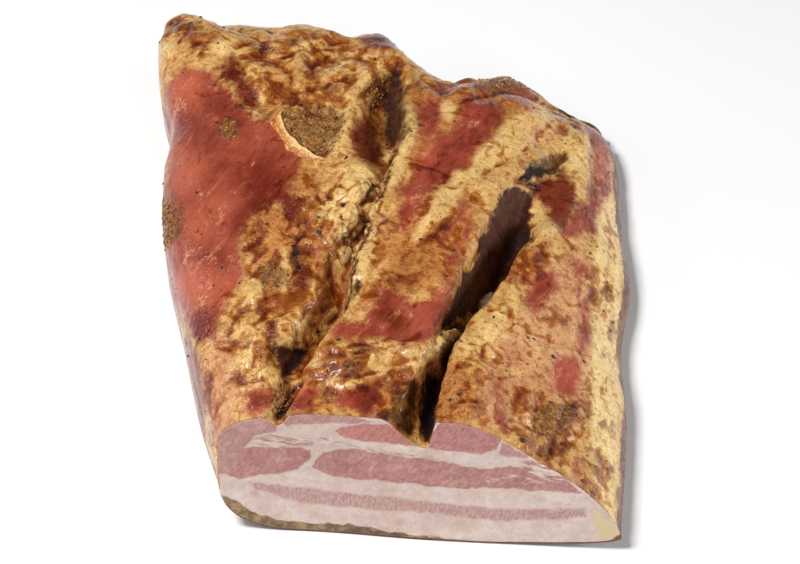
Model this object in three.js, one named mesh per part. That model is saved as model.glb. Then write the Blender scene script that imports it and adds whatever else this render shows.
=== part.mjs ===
// Smoked pork brisket: one slab of smoked pork belly, lying on its rind, cut straight across
// at the front, with two long creases where the boned side has opened up. Millimetres, +Z up.
//
// While it is worked out, x runs across the cut, y is the distance behind the cut's lower edge
// and z is the height above the rind. The finished slab is centred over its own origin.

import * as THREE from "three";

// ---------- driving sizes ----------

const SURFACE_COLOUR = 0xa8693f;
const SURFACE_ROUGHNESS = 0.45;

const RIM_LEFT = 38; // height of the widest line along the thick side
const RIM_RIGHT = 7; // the same along the thin side
const RIM_BACK_LEFT = 34; // height of the widest line round the back
const RIM_BACK_RIGHT = 12;
const CREST_ACROSS = -0.15; // where the ridge line runs: -1 is the left side, 1 is the right
const BACK_BEGINS = 0.8; // share of the length at which the slab starts to round down
const CORNER_ROUNDNESS = 4; // superellipse power of the two back corners in plan
const BACK_ROUNDNESS = 2.6;
const LEFT_ROUNDNESS = 4; // superellipse powers of the cross-section
const RIGHT_ROUNDNESS = 1.6;
const LOWER_LEFT_ROUNDNESS = 4;
const LOWER_RIGHT_ROUNDNESS = 2;
const LOWER_BACK_ROUNDNESS = 2.2;
const REST_SINK = 1.5; // how far the rind is pressed flat where it lies
const CUT_LEAN = Math.tan(THREE.MathUtils.degToRad(8)); // the cut leans back as it rises
const LEAN_FADE = 4; // power with which the lean dies out behind the cut

// Plan outline. [distance behind the cut, x] for the sides, [across, y] for the two ends.
const LEFT_SIDE = [
  [0, -85], [40, -96], [90, -106], [150, -118], [190, -120], [215, -118], [250, -125], [330, -130],
];
const RIGHT_SIDE = [[0, 89], [70, 95], [108, 94.5], [150, 101], [190, 99], [240, 99.5], [330, 97]];
const FRONT_END = [[-1, 9], [-0.5, 6.5], [0, 2], [0.5, -1], [1, -4]];
const BACK_END = [
  [-1, 326], [-0.86, 321], [-0.72, 309], [-0.5, 302], [-0.3, 302], [-0.15, 295], [0, 296],
  [0.09, 281], [0.22, 267], [0.4, 273], [0.55, 280], [0.72, 274], [1, 272],
];

// Height of the ridge line: [distance behind the cut, z].
const CREST = [[0, 67], [60, 68], [160, 68], [260, 62], [340, 58]];

// Creases. Each station: [distance behind the cut, x of the floor, depth, reach left, reach right].
const LEFT_CREASE = [
  [0, -62, 4, 6, 5], [18, -60, 5, 7, 5], [36, -54, 8, 13, 6], [52, -49.5, 12, 18, 6],
  [64, -44, 14, 17, 6], [78, -37, 13.5, 15, 6], [88, -34, 12, 13, 5], [102, -33.5, 11, 12, 5],
  [120, -29.5, 9, 9, 5], [136, -24, 8, 8, 4], [152, -19, 7, 7, 4], [170, -16.5, 7, 9, 4],
  [190, -12.5, 12, 20, 6], [210, -11.5, 15, 20, 7], [230, -12, 14, 18, 8], [246, -11, 9, 14, 8],
  [264, -10, 0, 10, 8],
];
const RIGHT_CREASE = [
  [0, 4, 13, 26, 4.5], [18, 3.5, 16, 18, 4.5], [34, 7, 21, 12, 4], [50, 9.5, 24, 8, 4],
  [66, 13, 26, 8, 6], [80, 19, 28, 10, 7], [95, 26, 30, 11.5, 8], [110, 31, 30, 11.5, 9],
  [127, 37, 28, 12, 10], [140, 42, 26, 13, 12], [155, 47, 22, 12, 18], [172, 53, 17, 11, 20],
  [190, 60, 12, 9, 16], [205, 66, 7, 7, 10], [218, 70, 0, 6, 8],
];

// The place where a film of fat bridges the right crease: how deep the crease may be there, how
// fast that grows away from it, then its middle, half axes and turn.
const BRIDGE = { depth: 5, growth: 26, x: 9, y: 64, across: 18, along: 6, turn: 42 };
const BRIDGE_CORE = 0.6; // share of the bridge's own radius over which it stays level

// Swellings and dips of the meat: height of each, its middle, half width, half length, turn.
const SWELLINGS = [
  { height: 4.5, x: -27, y: 150, across: 12, along: 24, turn: -8 }, // knobbly fat by the left crease
  { height: 3.5, x: -62, y: 60, across: 19, along: 28, turn: 8 }, // fat lobe at the front left
  { height: 5, x: -108, y: 268, across: 20, along: 24, turn: 0 }, // raised back left corner
  { height: 1.5, x: -95, y: 185, across: 24, along: 60, turn: 0 }, // bare lean muscle on the left
  { height: 2.5, x: 15, y: 110, across: 12, along: 50, turn: -18 }, // ridge between the creases
  { height: 2.5, x: -28, y: 48, across: 16, along: 14, turn: 0 }, // foot of that ridge
  { height: 5.5, x: 24, y: 18, across: 15, along: 30, turn: 8 }, // round muscle at the cut
  { height: 2, x: 60, y: 95, across: 20, along: 40, turn: -10 }, // right lobe
  { height: 2.5, x: 42, y: 235, across: 22, along: 20, turn: 0 },
  { height: 3, x: -14, y: 262, across: 8, along: 8, turn: 0 }, // small lean knob at the back
  { height: -3, x: -40, y: 262, across: 16, along: 26, turn: 0 },
  { height: -3, x: 8, y: 232, across: 12, along: 22, turn: 0 },
  { height: -2.5, x: 62, y: 215, across: 10, along: 12, turn: 0 },
];
const SWELLING_EDGE = 1.3; // power of the falloff: above 1 gives a flatter top and a firmer edge

// Uneven hand-sized and thumb-sized lumps all over the crust.
const LUMPS = [
  { height: 1.3, across: 19, along: 23, shiftX: 3.1, shiftY: 7.7 },
  { height: 0.7, across: 9.5, along: 11, shiftX: 11.3, shiftY: 1.9 },
];

// Mesh. Columns left of, between and right of the two crease floors, each a multiple of
// UNDERSIDE_STEP, which is how many crust columns meet one underside column.
const STRETCH_COLUMNS = [20, 12, 20];
const COLUMNS = STRETCH_COLUMNS.reduce((sum, count) => sum + count, 0);
const ROWS = 60;
const BACK_ROWS = 16;
const CUT_ROWS = 8;
const UNDERSIDE_STEP = 4;
const ROW_SAMPLES = 600;

// ---------- curves ----------

// Smooth curve through stations: a cubic Hermite spline. `column` picks the value to read.
function curve(stations, t, column = 1) {
  const last = stations.length - 1;
  const at = THREE.MathUtils.clamp(t, stations[0][0], stations[last][0]);
  let i = 0;
  while (i < last - 1 && at >= stations[i + 1][0]) i += 1;
  const span = stations[i + 1][0] - stations[i][0];
  const s = (at - stations[i][0]) / span;
  const startSlope = slopeAt(stations, i, column) * span;
  const endSlope = slopeAt(stations, i + 1, column) * span;
  const start = (1 + 2 * s) * (1 - s) ** 2 * stations[i][column] + s * (1 - s) ** 2 * startSlope;
  const end = s * s * (3 - 2 * s) * stations[i + 1][column] + s * s * (s - 1) * endSlope;
  return start + end;
}

// Slope at a station: the mean of its two chords, each weighted by the other one's length.
function slopeAt(stations, i, column) {
  const last = stations.length - 1;
  const chord = (k) => {
    const rise = stations[k + 1][column] - stations[k][column];
    return rise / (stations[k + 1][0] - stations[k][0]);
  };
  if (i === 0) return chord(0);
  if (i === last) return chord(last - 1);
  const before = stations[i][0] - stations[i - 1][0];
  const after = stations[i + 1][0] - stations[i][0];
  return (chord(i - 1) * after + chord(i) * before) / (before + after);
}

// Quarter superellipse: 1 at u = 0, falling to 0 at u = 1.
function roundOff(u, power) {
  return Math.max(0, 1 - u ** power) ** (1 / power);
}

function mix(from, to, share) {
  return from + (to - from) * share;
}

// ---------- the slab without its relief ----------

// across -1..1 and along 0..1 to a place in plan; `back` rises 0..1 over the rounded end.
function placeInPlan(across, along) {
  let back = Math.max(0, (along - BACK_BEGINS) / (1 - BACK_BEGINS));
  let a = across;
  let b = along;
  const beyond = back;
  if (back > 0) {
    const square = Math.max(Math.abs(across), back);
    const powers = Math.abs(across) ** CORNER_ROUNDNESS + back ** CORNER_ROUNDNESS;
    const round = powers ** (1 / CORNER_ROUNDNESS);
    a = across * (square / round);
    back *= square / round;
    b = mix(BACK_BEGINS, 1, back);
  }
  const front = curve(FRONT_END, a);
  const y = mix(front, curve(BACK_END, a), b);
  const x = mix(curve(LEFT_SIDE, y), curve(RIGHT_SIDE, y), (a + 1) / 2);
  return { x, y, beyond };
}

// Height of the slab's widest line.
function rimHeight(across, beyond) {
  const share = THREE.MathUtils.smoothstep(across, -1, 1);
  const side = mix(RIM_LEFT, RIM_RIGHT, share);
  const back = mix(RIM_BACK_LEFT, RIM_BACK_RIGHT, share);
  return mix(side, back, beyond ** 2);
}

// Share of the full thickness left at a place: 1 on the ridge line, 0 on the rim.
function thicknessShare(across, beyond, leftPower, rightPower, backPower) {
  const left = across < CREST_ACROSS;
  const reach = left ? 1 + CREST_ACROSS : 1 - CREST_ACROSS;
  const fromCrest = Math.abs(across - CREST_ACROSS) / reach;
  return roundOff(fromCrest, left ? leftPower : rightPower) * roundOff(beyond, backPower);
}

// ---------- relief ----------

// Depth of a crease at a place: deepest on its floor, with a different reach to each side.
function creaseDepth(stations, x, y) {
  const floor = curve(stations, y, 1);
  const depth = Math.max(0, curve(stations, y, 2));
  const reach = curve(stations, y, x < floor ? 3 : 4);
  const t = Math.min(1, Math.abs(x - floor) / reach);
  return depth * (1 - t * t) ** 2;
}

// Radius squared in an ellipse's own measure: 0 in its middle and 1 on its edge.
function ellipseRadius({ x: middleX, y: middleY, across, along, turn }, x, y) {
  const angle = THREE.MathUtils.degToRad(turn);
  const u = ((x - middleX) * Math.cos(angle) + (y - middleY) * Math.sin(angle)) / across;
  const v = ((y - middleY) * Math.cos(angle) - (x - middleX) * Math.sin(angle)) / along;
  return u * u + v * v;
}

// Both creases together, no deeper than the bridge allows.
function creases(x, y) {
  const away = Math.max(0, Math.sqrt(ellipseRadius(BRIDGE, x, y)) - BRIDGE_CORE);
  const depth = creaseDepth(LEFT_CREASE, x, y) + creaseDepth(RIGHT_CREASE, x, y);
  return Math.min(depth, BRIDGE.depth + BRIDGE.growth * away);
}

function swellingHeight(swelling, x, y) {
  return swelling.height * Math.exp(-(ellipseRadius(swelling, x, y) ** SWELLING_EDGE));
}

// Creases and swellings together.
function forms(x, y) {
  const swell = SWELLINGS.reduce((sum, swelling) => sum + swellingHeight(swelling, x, y), 0);
  return swell - creases(x, y);
}

// Repeatable random number from 0 to 1 for a grid point.
function gridRandom(i, j) {
  const value = Math.sin(i * 127.1 + j * 311.7) * 43758.5453;
  return value - Math.floor(value);
}

// Smooth value noise from -1 to 1.
function smoothNoise(x, y) {
  const i = Math.floor(x);
  const j = Math.floor(y);
  const u = THREE.MathUtils.smootherstep(x - i, 0, 1);
  const v = THREE.MathUtils.smootherstep(y - j, 0, 1);
  const near = mix(gridRandom(i, j), gridRandom(i + 1, j), u);
  const far = mix(gridRandom(i, j + 1), gridRandom(i + 1, j + 1), u);
  return 2 * mix(near, far, v) - 1;
}

function lumps(x, y) {
  const one = ({ height, across, along, shiftX, shiftY }) =>
    height * smoothNoise(x / across + shiftX, y / along + shiftY);
  return LUMPS.reduce((sum, lump) => sum + one(lump), 0);
}

// ---------- surfaces ----------

function leanBack(y, z, along) {
  return y + z * CUT_LEAN * (1 - along) ** LEAN_FADE;
}

// A point of the crust, top and sides down to the rim.
function crustPoint(across, along, withLumps = true) {
  const { x, y, beyond } = placeInPlan(across, along);
  const rim = rimHeight(across, beyond);
  const share = thicknessShare(across, beyond, LEFT_ROUNDNESS, RIGHT_ROUNDNESS, BACK_ROUNDNESS);
  const rise = curve(CREST, y) - rim;
  const reliefY = leanBack(y, rim + rise * share, along);
  const relief = forms(x, reliefY) + (withLumps ? lumps(x, reliefY) : 0);
  const z = rim + (rise + relief) * share;
  return new THREE.Vector3(x, leanBack(y, z, along), z);
}

// A point of the rind side, from the rim down to the flat it rests on.
function rindPoint(across, along) {
  const { x, y, beyond } = placeInPlan(across, along);
  const rim = rimHeight(across, beyond);
  const share = thicknessShare(
    across, beyond, LOWER_LEFT_ROUNDNESS, LOWER_RIGHT_ROUNDNESS, LOWER_BACK_ROUNDNESS,
  );
  const z = Math.max(0, rim * (1 - share) - REST_SINK * share);
  return new THREE.Vector3(x, leanBack(y, z, along), z);
}

// Rows are even along the slab and crowd together where the back rounds down to the rim.
function rowPosition(row) {
  const straightRows = ROWS - BACK_ROWS;
  if (row <= straightRows) return (BACK_BEGINS * row) / straightRows;
  const turn = ((row - straightRows) / BACK_ROWS) * (Math.PI / 2);
  return mix(BACK_BEGINS, 1, Math.sin(turn) ** (2 / BACK_ROUNDNESS));
}

// Walks one row from the left rim to the right rim, noting the distance walked at each sample
// and where the walk crosses the two crease floors.
function walkRow(along) {
  const samples = [];
  const floors = [];
  for (let k = 0; k <= ROW_SAMPLES; k += 1) {
    const across = -Math.cos((Math.PI * k) / ROW_SAMPLES);
    const point = crustPoint(across, along, false);
    const before = samples[k - 1];
    const walked = before ? before.walked + point.distanceTo(before.point) : 0;
    samples.push({ across, point, walked });
    const crease = [LEFT_CREASE, RIGHT_CREASE][floors.length];
    if (crease && point.x >= curve(crease, point.y, 1)) floors.push(walked);
  }
  return { samples, stops: [0, ...floors, samples[ROW_SAMPLES].walked] };
}

// One column runs along each crease floor. Between those, the columns of a row are an equal
// distance apart over the surface, so steep walls get their share.
function columnPositions(along) {
  const { samples, stops } = walkRow(along);
  const positions = [-1];
  let k = 0;
  STRETCH_COLUMNS.forEach((count, stretch) => {
    for (let column = 1; column <= count; column += 1) {
      const target = mix(stops[stretch], stops[stretch + 1], column / count);
      while (k < ROW_SAMPLES - 1 && samples[k + 1].walked < target) k += 1;
      const step = samples[k + 1].walked - samples[k].walked;
      const share = THREE.MathUtils.clamp((target - samples[k].walked) / step, 0, 1);
      positions.push(mix(samples[k].across, samples[k + 1].across, share));
    }
  });
  return positions;
}

// ---------- one closed mesh ----------

function slabGeometry() {
  const vertices = [];
  const triangles = [];
  const addVertex = (point) => vertices.push(point) - 1;
  const addTriangle = (a, b, c) => {
    if (a !== b && b !== c && c !== a) triangles.push(a, b, c);
  };
  const addQuad = (a, b, c, d) => {
    addTriangle(a, b, c);
    addTriangle(a, c, d);
  };

  const along = Array.from({ length: ROWS + 1 }, (_, row) => rowPosition(row));
  const across = along.map(columnPositions);

  // Crust, row by row from the cut to the back.
  const crust = along.map((b, row) => across[row].map((a) => addVertex(crustPoint(a, b))));
  for (let row = 0; row < ROWS; row += 1) {
    for (let column = 0; column < COLUMNS; column += 1) {
      addQuad(
        crust[row][column], crust[row][column + 1],
        crust[row + 1][column + 1], crust[row + 1][column],
      );
    }
  }

  // Underside: its sides and back are the crust's rim, and its columns are fewer.
  const onRim = (column) => column === 0 || column === COLUMNS;
  const rind = along.map((b, row) =>
    across[row].map((a, column) => {
      if (row === ROWS || onRim(column)) return crust[row][column];
      const used = row === 0 || column % UNDERSIDE_STEP === 0;
      return used ? addVertex(rindPoint(a, b)) : null;
    }),
  );
  const addFlipped = (a, b, c) => addTriangle(a, c, b);
  for (let row = 0; row < ROWS; row += 1) {
    for (let left = 0; left < COLUMNS; left += UNDERSIDE_STEP) {
      const right = left + UNDERSIDE_STEP;
      const near = rind[row];
      const far = rind[row + 1];
      if (row === 0) addFan(near, left, right, far[right], far[left], addTriangle);
      else if (row === ROWS - 1) addFan(far, left, right, near[right], near[left], addFlipped);
      else addQuad(near[left], far[left], far[right], near[right]);
    }
  }

  // Cut face: a lean plane between the crust's front edge and the rind's.
  const cut = [rind[0]];
  for (let level = 1; level < CUT_ROWS; level += 1) {
    cut.push(
      across[0].map((_, column) => {
        if (onRim(column)) return crust[0][column];
        const low = vertices[rind[0][column]];
        const high = vertices[crust[0][column]];
        return addVertex(low.clone().lerp(high, level / CUT_ROWS));
      }),
    );
  }
  cut.push(crust[0]);
  for (let level = 0; level < CUT_ROWS; level += 1) {
    for (let column = 0; column < COLUMNS; column += 1) {
      addQuad(
        cut[level][column], cut[level][column + 1],
        cut[level + 1][column + 1], cut[level + 1][column],
      );
    }
  }

  const geometry = new THREE.BufferGeometry().setFromPoints(vertices);
  geometry.setIndex(triangles);
  centreOverOrigin(geometry);
  geometry.computeVertexNormals();
  return geometry;
}

// Joins the many vertices of one edge, from left to right, to the two corners opposite.
function addFan(edge, left, right, farRight, farLeft, addTriangle) {
  const middle = (left + right) / 2;
  for (let column = left; column < right; column += 1) {
    addTriangle(edge[column], column < middle ? farLeft : farRight, edge[column + 1]);
  }
  addTriangle(edge[middle], farLeft, farRight);
}

function centreOverOrigin(geometry) {
  geometry.computeBoundingBox();
  const { min, max } = geometry.boundingBox;
  geometry.translate(-(min.x + max.x) / 2, -(min.y + max.y) / 2, -min.z);
}

// ---------- the object ----------

const material = new THREE.MeshStandardMaterial({
  color: SURFACE_COLOUR,
  roughness: SURFACE_ROUGHNESS,
  metalness: 0,
});

const brisket = new THREE.Mesh(slabGeometry(), material);
brisket.name = "brisket";

const object = new THREE.Group();
object.add(brisket);

export default object;
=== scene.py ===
# %% [markdown]
# # A slab of smoked pork belly
#
# The object is one piece of smoked pork belly, lying on its rind. The knife cut at the front
# shows the layers of fat and lean. The rest is crust: tan fat and red-brown lean, folded and
# torn where the ribs were taken out, with pepper and spice stuck to it.
#
# The CAD part gives the size and the main shape. This script works out the same shape on a much
# finer grid, adds the small relief and the finishes, and lights it like the photograph.

import bpy
import numpy as np
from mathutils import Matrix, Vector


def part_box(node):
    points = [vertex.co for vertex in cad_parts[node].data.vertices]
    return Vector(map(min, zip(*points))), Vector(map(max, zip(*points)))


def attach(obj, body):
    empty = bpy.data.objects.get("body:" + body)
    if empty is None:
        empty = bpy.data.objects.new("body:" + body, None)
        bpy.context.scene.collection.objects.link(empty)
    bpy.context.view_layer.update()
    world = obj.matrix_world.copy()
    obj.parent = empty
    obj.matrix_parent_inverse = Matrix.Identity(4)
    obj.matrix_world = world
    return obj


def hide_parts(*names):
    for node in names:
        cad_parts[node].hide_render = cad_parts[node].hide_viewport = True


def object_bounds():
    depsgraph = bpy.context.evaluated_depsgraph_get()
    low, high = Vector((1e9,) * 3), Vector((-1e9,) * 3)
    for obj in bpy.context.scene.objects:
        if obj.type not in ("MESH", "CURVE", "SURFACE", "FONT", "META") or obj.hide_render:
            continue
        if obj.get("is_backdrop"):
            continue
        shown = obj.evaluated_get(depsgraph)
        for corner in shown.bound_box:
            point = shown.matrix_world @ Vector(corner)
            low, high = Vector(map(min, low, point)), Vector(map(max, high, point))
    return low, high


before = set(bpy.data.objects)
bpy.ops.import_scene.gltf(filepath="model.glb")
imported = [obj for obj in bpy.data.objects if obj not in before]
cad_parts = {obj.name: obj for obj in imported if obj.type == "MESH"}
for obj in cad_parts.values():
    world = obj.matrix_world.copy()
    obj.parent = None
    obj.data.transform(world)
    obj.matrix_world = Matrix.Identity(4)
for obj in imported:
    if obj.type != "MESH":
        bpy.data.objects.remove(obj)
cad_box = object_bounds()
print("CAD box:", [tuple(round(1000 * value, 1) for value in corner) for corner in cad_box])

# %% [markdown]
# ## The outline and the section of the slab
#
# A belly slab is nearly a rectangle in plan, thick along one side and thin along the other.
# It could be sculpted by hand, but a shape that is worked out from a few curves can be checked
# against the photograph one number at a time, and it agrees with the CAD part, which uses the
# same curves. Lengths are millimetres here: x runs across the cut, y is the distance behind the
# cut's lower edge, and z is the height above the rind.

# %% Driving sizes of the slab
RIM_LEFT = 38  # height of the widest line along the thick side
RIM_RIGHT = 7
RIM_BACK_LEFT = 34
RIM_BACK_RIGHT = 12
CREST_ACROSS = -0.15  # where the ridge line runs: -1 is the left side, 1 is the right
BACK_BEGINS = 0.8
CORNER_ROUNDNESS = 4
BACK_ROUNDNESS = 2.6
LEFT_ROUNDNESS = 4
RIGHT_ROUNDNESS = 1.6
LOWER_LEFT_ROUNDNESS = 4
LOWER_RIGHT_ROUNDNESS = 2
LOWER_BACK_ROUNDNESS = 2.2
REST_SINK = 1.5
CUT_LEAN = np.tan(np.radians(8))
LEAN_FADE = 4

# [distance behind the cut, x] for the two sides and [across, y] for the two ends.
LEFT_SIDE = np.array(
    [[0, -85], [40, -96], [90, -106], [150, -118], [190, -120], [215, -118], [250, -125], [330, -130]]
)
RIGHT_SIDE = np.array([[0, 89], [70, 95], [108, 94.5], [150, 101], [190, 99], [240, 99.5], [330, 97]])
FRONT_END = np.array([[-1, 9], [-0.5, 6.5], [0, 2], [0.5, -1], [1, -4]])
BACK_END = np.array(
    [
        [-1, 326], [-0.86, 321], [-0.72, 309], [-0.5, 302], [-0.3, 302], [-0.15, 295], [0, 296],
        [0.09, 281], [0.22, 267], [0.4, 273], [0.55, 280], [0.72, 274], [1, 272],
    ]
)  # fmt: skip
CREST = np.array([[0, 67], [60, 68], [160, 68], [260, 62], [340, 58]])


# %% Curves through stations
def curve(stations, t, column=1):
    """Smooth curve through stations: on each span, the cubic that meets the values and the slopes
    at both ends, where a slope is the mean of the two chords beside the station, each weighted by
    the other's length."""
    knots = stations[:, 0].astype(float)
    values = stations[:, column].astype(float)
    slopes = np.gradient(values, knots)
    t = np.clip(t, knots[0], knots[-1])
    i = np.clip(np.searchsorted(knots, t, side="right") - 1, 0, len(knots) - 2)
    span = knots[i + 1] - knots[i]
    s = (t - knots[i]) / span
    start = (1 + 2 * s) * (1 - s) ** 2 * values[i] + s * (1 - s) ** 2 * span * slopes[i]
    end = s * s * (3 - 2 * s) * values[i + 1] + s * s * (s - 1) * span * slopes[i + 1]
    return start + end


def smooth_step(value, low, high):
    """0 below low, 1 above high, and 3s^2 - 2s^3 between, with s the share of the way."""
    s = np.clip((value - low) / (high - low), 0, 1)
    return s * s * (3 - 2 * s)


def mix(low, high, share):
    """The value that share of the way from low to high."""
    return low + (high - low) * share


# %% Plan and section
def place_in_plan(across, along):
    """x from the two side curves and y from the two end curves, after the square (across, along)
    has its back corners rounded by a superellipse. Also returns how far over the back it is."""
    beyond = np.maximum(0, (along - BACK_BEGINS) / (1 - BACK_BEGINS))
    square = np.maximum(np.abs(across), beyond)
    power = CORNER_ROUNDNESS
    ring = np.maximum((np.abs(across) ** power + beyond**power) ** (1 / power), 1e-9)
    pull = np.where(beyond > 0, square / ring, 1)
    a = across * pull
    b = np.where(beyond > 0, mix(BACK_BEGINS, 1, beyond * pull), along)
    front = curve(FRONT_END, a)
    y = mix(front, curve(BACK_END, a), b)
    x = mix(curve(LEFT_SIDE, y), curve(RIGHT_SIDE, y), (a + 1) / 2)
    return x, y, beyond


def rim_height(across, beyond):
    """Height of the widest line: eased from left to right, and towards the back by beyond^2."""
    share = smooth_step(across, -1, 1)
    side = mix(RIM_LEFT, RIM_RIGHT, share)
    back = mix(RIM_BACK_LEFT, RIM_BACK_RIGHT, share)
    return mix(side, back, beyond**2)


def round_off(u, power):
    """Quarter superellipse: the power-th root of 1 - u^power, from 1 down to 0."""
    return np.maximum(0, 1 - u**power) ** (1 / power)


def thickness_share(across, beyond, left_power, right_power, back_power):
    """1 on the ridge line and 0 on the rim: the product of two quarter superellipses."""
    left = across < CREST_ACROSS
    from_crest = np.abs(across - CREST_ACROSS) / np.where(left, 1 + CREST_ACROSS, 1 - CREST_ACROSS)
    sideways = round_off(from_crest, np.where(left, left_power, right_power))
    return sideways * round_off(beyond, back_power)


# %% [markdown]
# ## The two creases and the swellings
#
# Where the ribs and the spare ribs were lifted out, the boned side has split into two long
# creases. Displacing a plain slab with one noise texture would put folds anywhere. Here each
# crease follows its own line, with its own depth and a different reach to each side, because the
# meat leans over one side of each. Broad swellings stand for single muscles and lobes of fat.

# %% Creases and swellings
# Each station: [distance behind the cut, x of the floor, depth, reach left, reach right].
LEFT_CREASE = np.array(
    [
        [0, -62, 4, 6, 5], [18, -60, 5, 7, 5], [36, -54, 8, 13, 6], [52, -49.5, 12, 18, 6],
        [64, -44, 14, 17, 6], [78, -37, 13.5, 15, 6], [88, -34, 12, 13, 5], [102, -33.5, 11, 12, 5],
        [120, -29.5, 9, 9, 5], [136, -24, 8, 8, 4], [152, -19, 7, 7, 4], [170, -16.5, 7, 9, 4],
        [190, -12.5, 12, 20, 6], [210, -11.5, 15, 20, 7], [230, -12, 14, 18, 8], [246, -11, 9, 14, 8],
        [264, -10, 0, 10, 8],
    ]
)  # fmt: skip
RIGHT_CREASE = np.array(
    [
        [0, 4, 13, 26, 4.5], [18, 3.5, 16, 18, 4.5], [34, 7, 21, 12, 4], [50, 9.5, 24, 8, 4],
        [66, 13, 26, 8, 6], [80, 19, 28, 10, 7], [95, 26, 30, 11.5, 8], [110, 31, 30, 11.5, 9],
        [127, 37, 28, 12, 10], [140, 42, 26, 13, 12], [155, 47, 22, 12, 18], [172, 53, 17, 11, 20],
        [190, 60, 12, 9, 16], [205, 66, 7, 7, 10], [218, 70, 0, 6, 8],
    ]
)  # fmt: skip

# Each: x and y of the middle, half width, half length, turn in degrees, height.
SWELLINGS = [
    (-27, 150, 12, 24, -8, 4.5),  # knobbly fat by the left crease
    (-62, 60, 19, 28, 8, 3.5),  # fat lobe at the front left
    (-108, 268, 20, 24, 0, 5),  # raised back left corner
    (-95, 185, 24, 60, 0, 1.5),  # bare lean muscle on the left
    (15, 110, 12, 50, -18, 2.5),  # ridge between the creases
    (-28, 48, 16, 14, 0, 2.5),  # foot of that ridge
    (24, 18, 15, 30, 8, 5.5),  # round muscle at the cut
    (60, 95, 20, 40, -10, 2),  # right lobe
    (42, 235, 22, 20, 0, 2.5),
    (-14, 262, 8, 8, 0, 3),  # small lean knob at the back
    (-40, 262, 16, 26, 0, -3),
    (8, 232, 12, 22, 0, -3),
    (62, 215, 10, 12, 0, -2.5),
]
SWELLING_EDGE = 1.3


def crease_depth(stations, x, y):
    """depth * (1 - t^2)^2, where t is the distance from the floor over the reach on that side."""
    floor = curve(stations, y, 1)
    depth = np.maximum(0, curve(stations, y, 2))
    reach = np.where(x < floor, curve(stations, y, 3), curve(stations, y, 4))
    t = np.minimum(1, np.abs(x - floor) / reach)
    return depth * (1 - t * t) ** 2


# The place where a film of fat bridges the right crease: middle, half axes and turn of its ellipse.
BRIDGE = (9, 64, 18, 6, 42)
BRIDGE_DEPTH = 5  # how deep the crease may be in the core of that ellipse
BRIDGE_CORE = 0.6  # radius of the core
BRIDGE_GROWTH = 26  # millimetres of depth for each radius beyond it


def turned(x, y, middle_x, middle_y, across, along, turn):
    """Radius squared in an ellipse's own measure: 0 in its middle and 1 on its edge."""
    angle = np.radians(turn)
    u = ((x - middle_x) * np.cos(angle) + (y - middle_y) * np.sin(angle)) / across
    v = ((y - middle_y) * np.cos(angle) - (x - middle_x) * np.sin(angle)) / along
    return u * u + v * v


def crease_sum(x, y):
    """Both creases, no deeper near the bridge than its depth + growth * (r - core)."""
    total = crease_depth(LEFT_CREASE, x, y) + crease_depth(RIGHT_CREASE, x, y)
    from_bridge = np.maximum(0, np.sqrt(turned(x, y, *BRIDGE)) - BRIDGE_CORE)
    return np.minimum(total, BRIDGE_DEPTH + BRIDGE_GROWTH * from_bridge)


def swelling_sum(x, y):
    """Sum of height * exp(-r^2.6), with r the radius in each swelling's own ellipse."""
    total = np.zeros_like(x)
    for *ellipse, height in SWELLINGS:
        total += height * np.exp(-(turned(x, y, *ellipse) ** SWELLING_EDGE))
    return total


# %% Hand-sized and thumb-sized lumps
def grid_random(i, j):
    """Repeatable number from 0 to 1 for a grid point: the fraction of a large sine."""
    value = np.sin(i * 127.1 + j * 311.7) * 43758.5453
    return value - np.floor(value)


def flat_noise(x, y):
    """Value noise from -1 to 1: random corners of unit squares, eased by 6s^5 - 15s^4 + 10s^3."""
    i, j = np.floor(x), np.floor(y)
    u, v = (s**3 * (s * (6 * s - 15) + 10) for s in (x - i, y - j))
    near = mix(grid_random(i, j), grid_random(i + 1, j), u)
    far = mix(grid_random(i, j + 1), grid_random(i + 1, j + 1), u)
    return 2 * mix(near, far, v) - 1


def lumps(x, y):
    """Two sizes of lump, about 20 mm and 10 mm across."""
    return 1.3 * flat_noise(x / 19 + 3.1, y / 23 + 7.7) + 0.7 * flat_noise(x / 9.5 + 11.3, y / 11 + 1.9)


# %% The slab's skin as a function of two parameters
def lean_back(y, z, along):
    """y + z tan(8 deg) at the cut, fading with (1 - along)^4 behind it."""
    return y + z * CUT_LEAN * (1 - along) ** LEAN_FADE


def crust_surface(across, along, with_lumps=True):
    """Top and sides: rim + (crest - rim + relief) * share, leaned back near the cut."""
    x, y, beyond = place_in_plan(across, along)
    rim = rim_height(across, beyond)
    rise = curve(CREST, y) - rim
    share = thickness_share(across, beyond, LEFT_ROUNDNESS, RIGHT_ROUNDNESS, BACK_ROUNDNESS)
    relief_y = lean_back(y, rim + rise * share, along)
    relief = swelling_sum(x, relief_y) - crease_sum(x, relief_y)
    if with_lumps:
        relief += lumps(x, relief_y)
    z = rim + (rise + relief) * share
    return np.stack([x, lean_back(y, z, along), z], axis=-1)


def rind_surface(across, along):
    """Underside: rim * (1 - share) down to the flat it rests on."""
    x, y, beyond = place_in_plan(across, along)
    rim = rim_height(across, beyond)
    share = thickness_share(
        across, beyond, LOWER_LEFT_ROUNDNESS, LOWER_RIGHT_ROUNDNESS, LOWER_BACK_ROUNDNESS
    )
    z = np.maximum(0, rim * (1 - share) - REST_SINK * share)
    return np.stack([x, lean_back(y, z, along), z], axis=-1)


# %% [markdown]
# ## A grid that follows the steep walls
#
# Equal steps of the parameter would leave the walls of the creases with hardly any faces. So
# each row is first walked in small steps, its length is added up, and the columns are set at
# equal distances over the surface. One call of `np.interp` does all rows, because each row's
# lengths are shifted past the row before.

# %% Rows and columns
ROWS = 330
COLUMNS = 260
BACK_ROWS_SHARE = 0.25
WALK_STEPS = 1200


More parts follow.
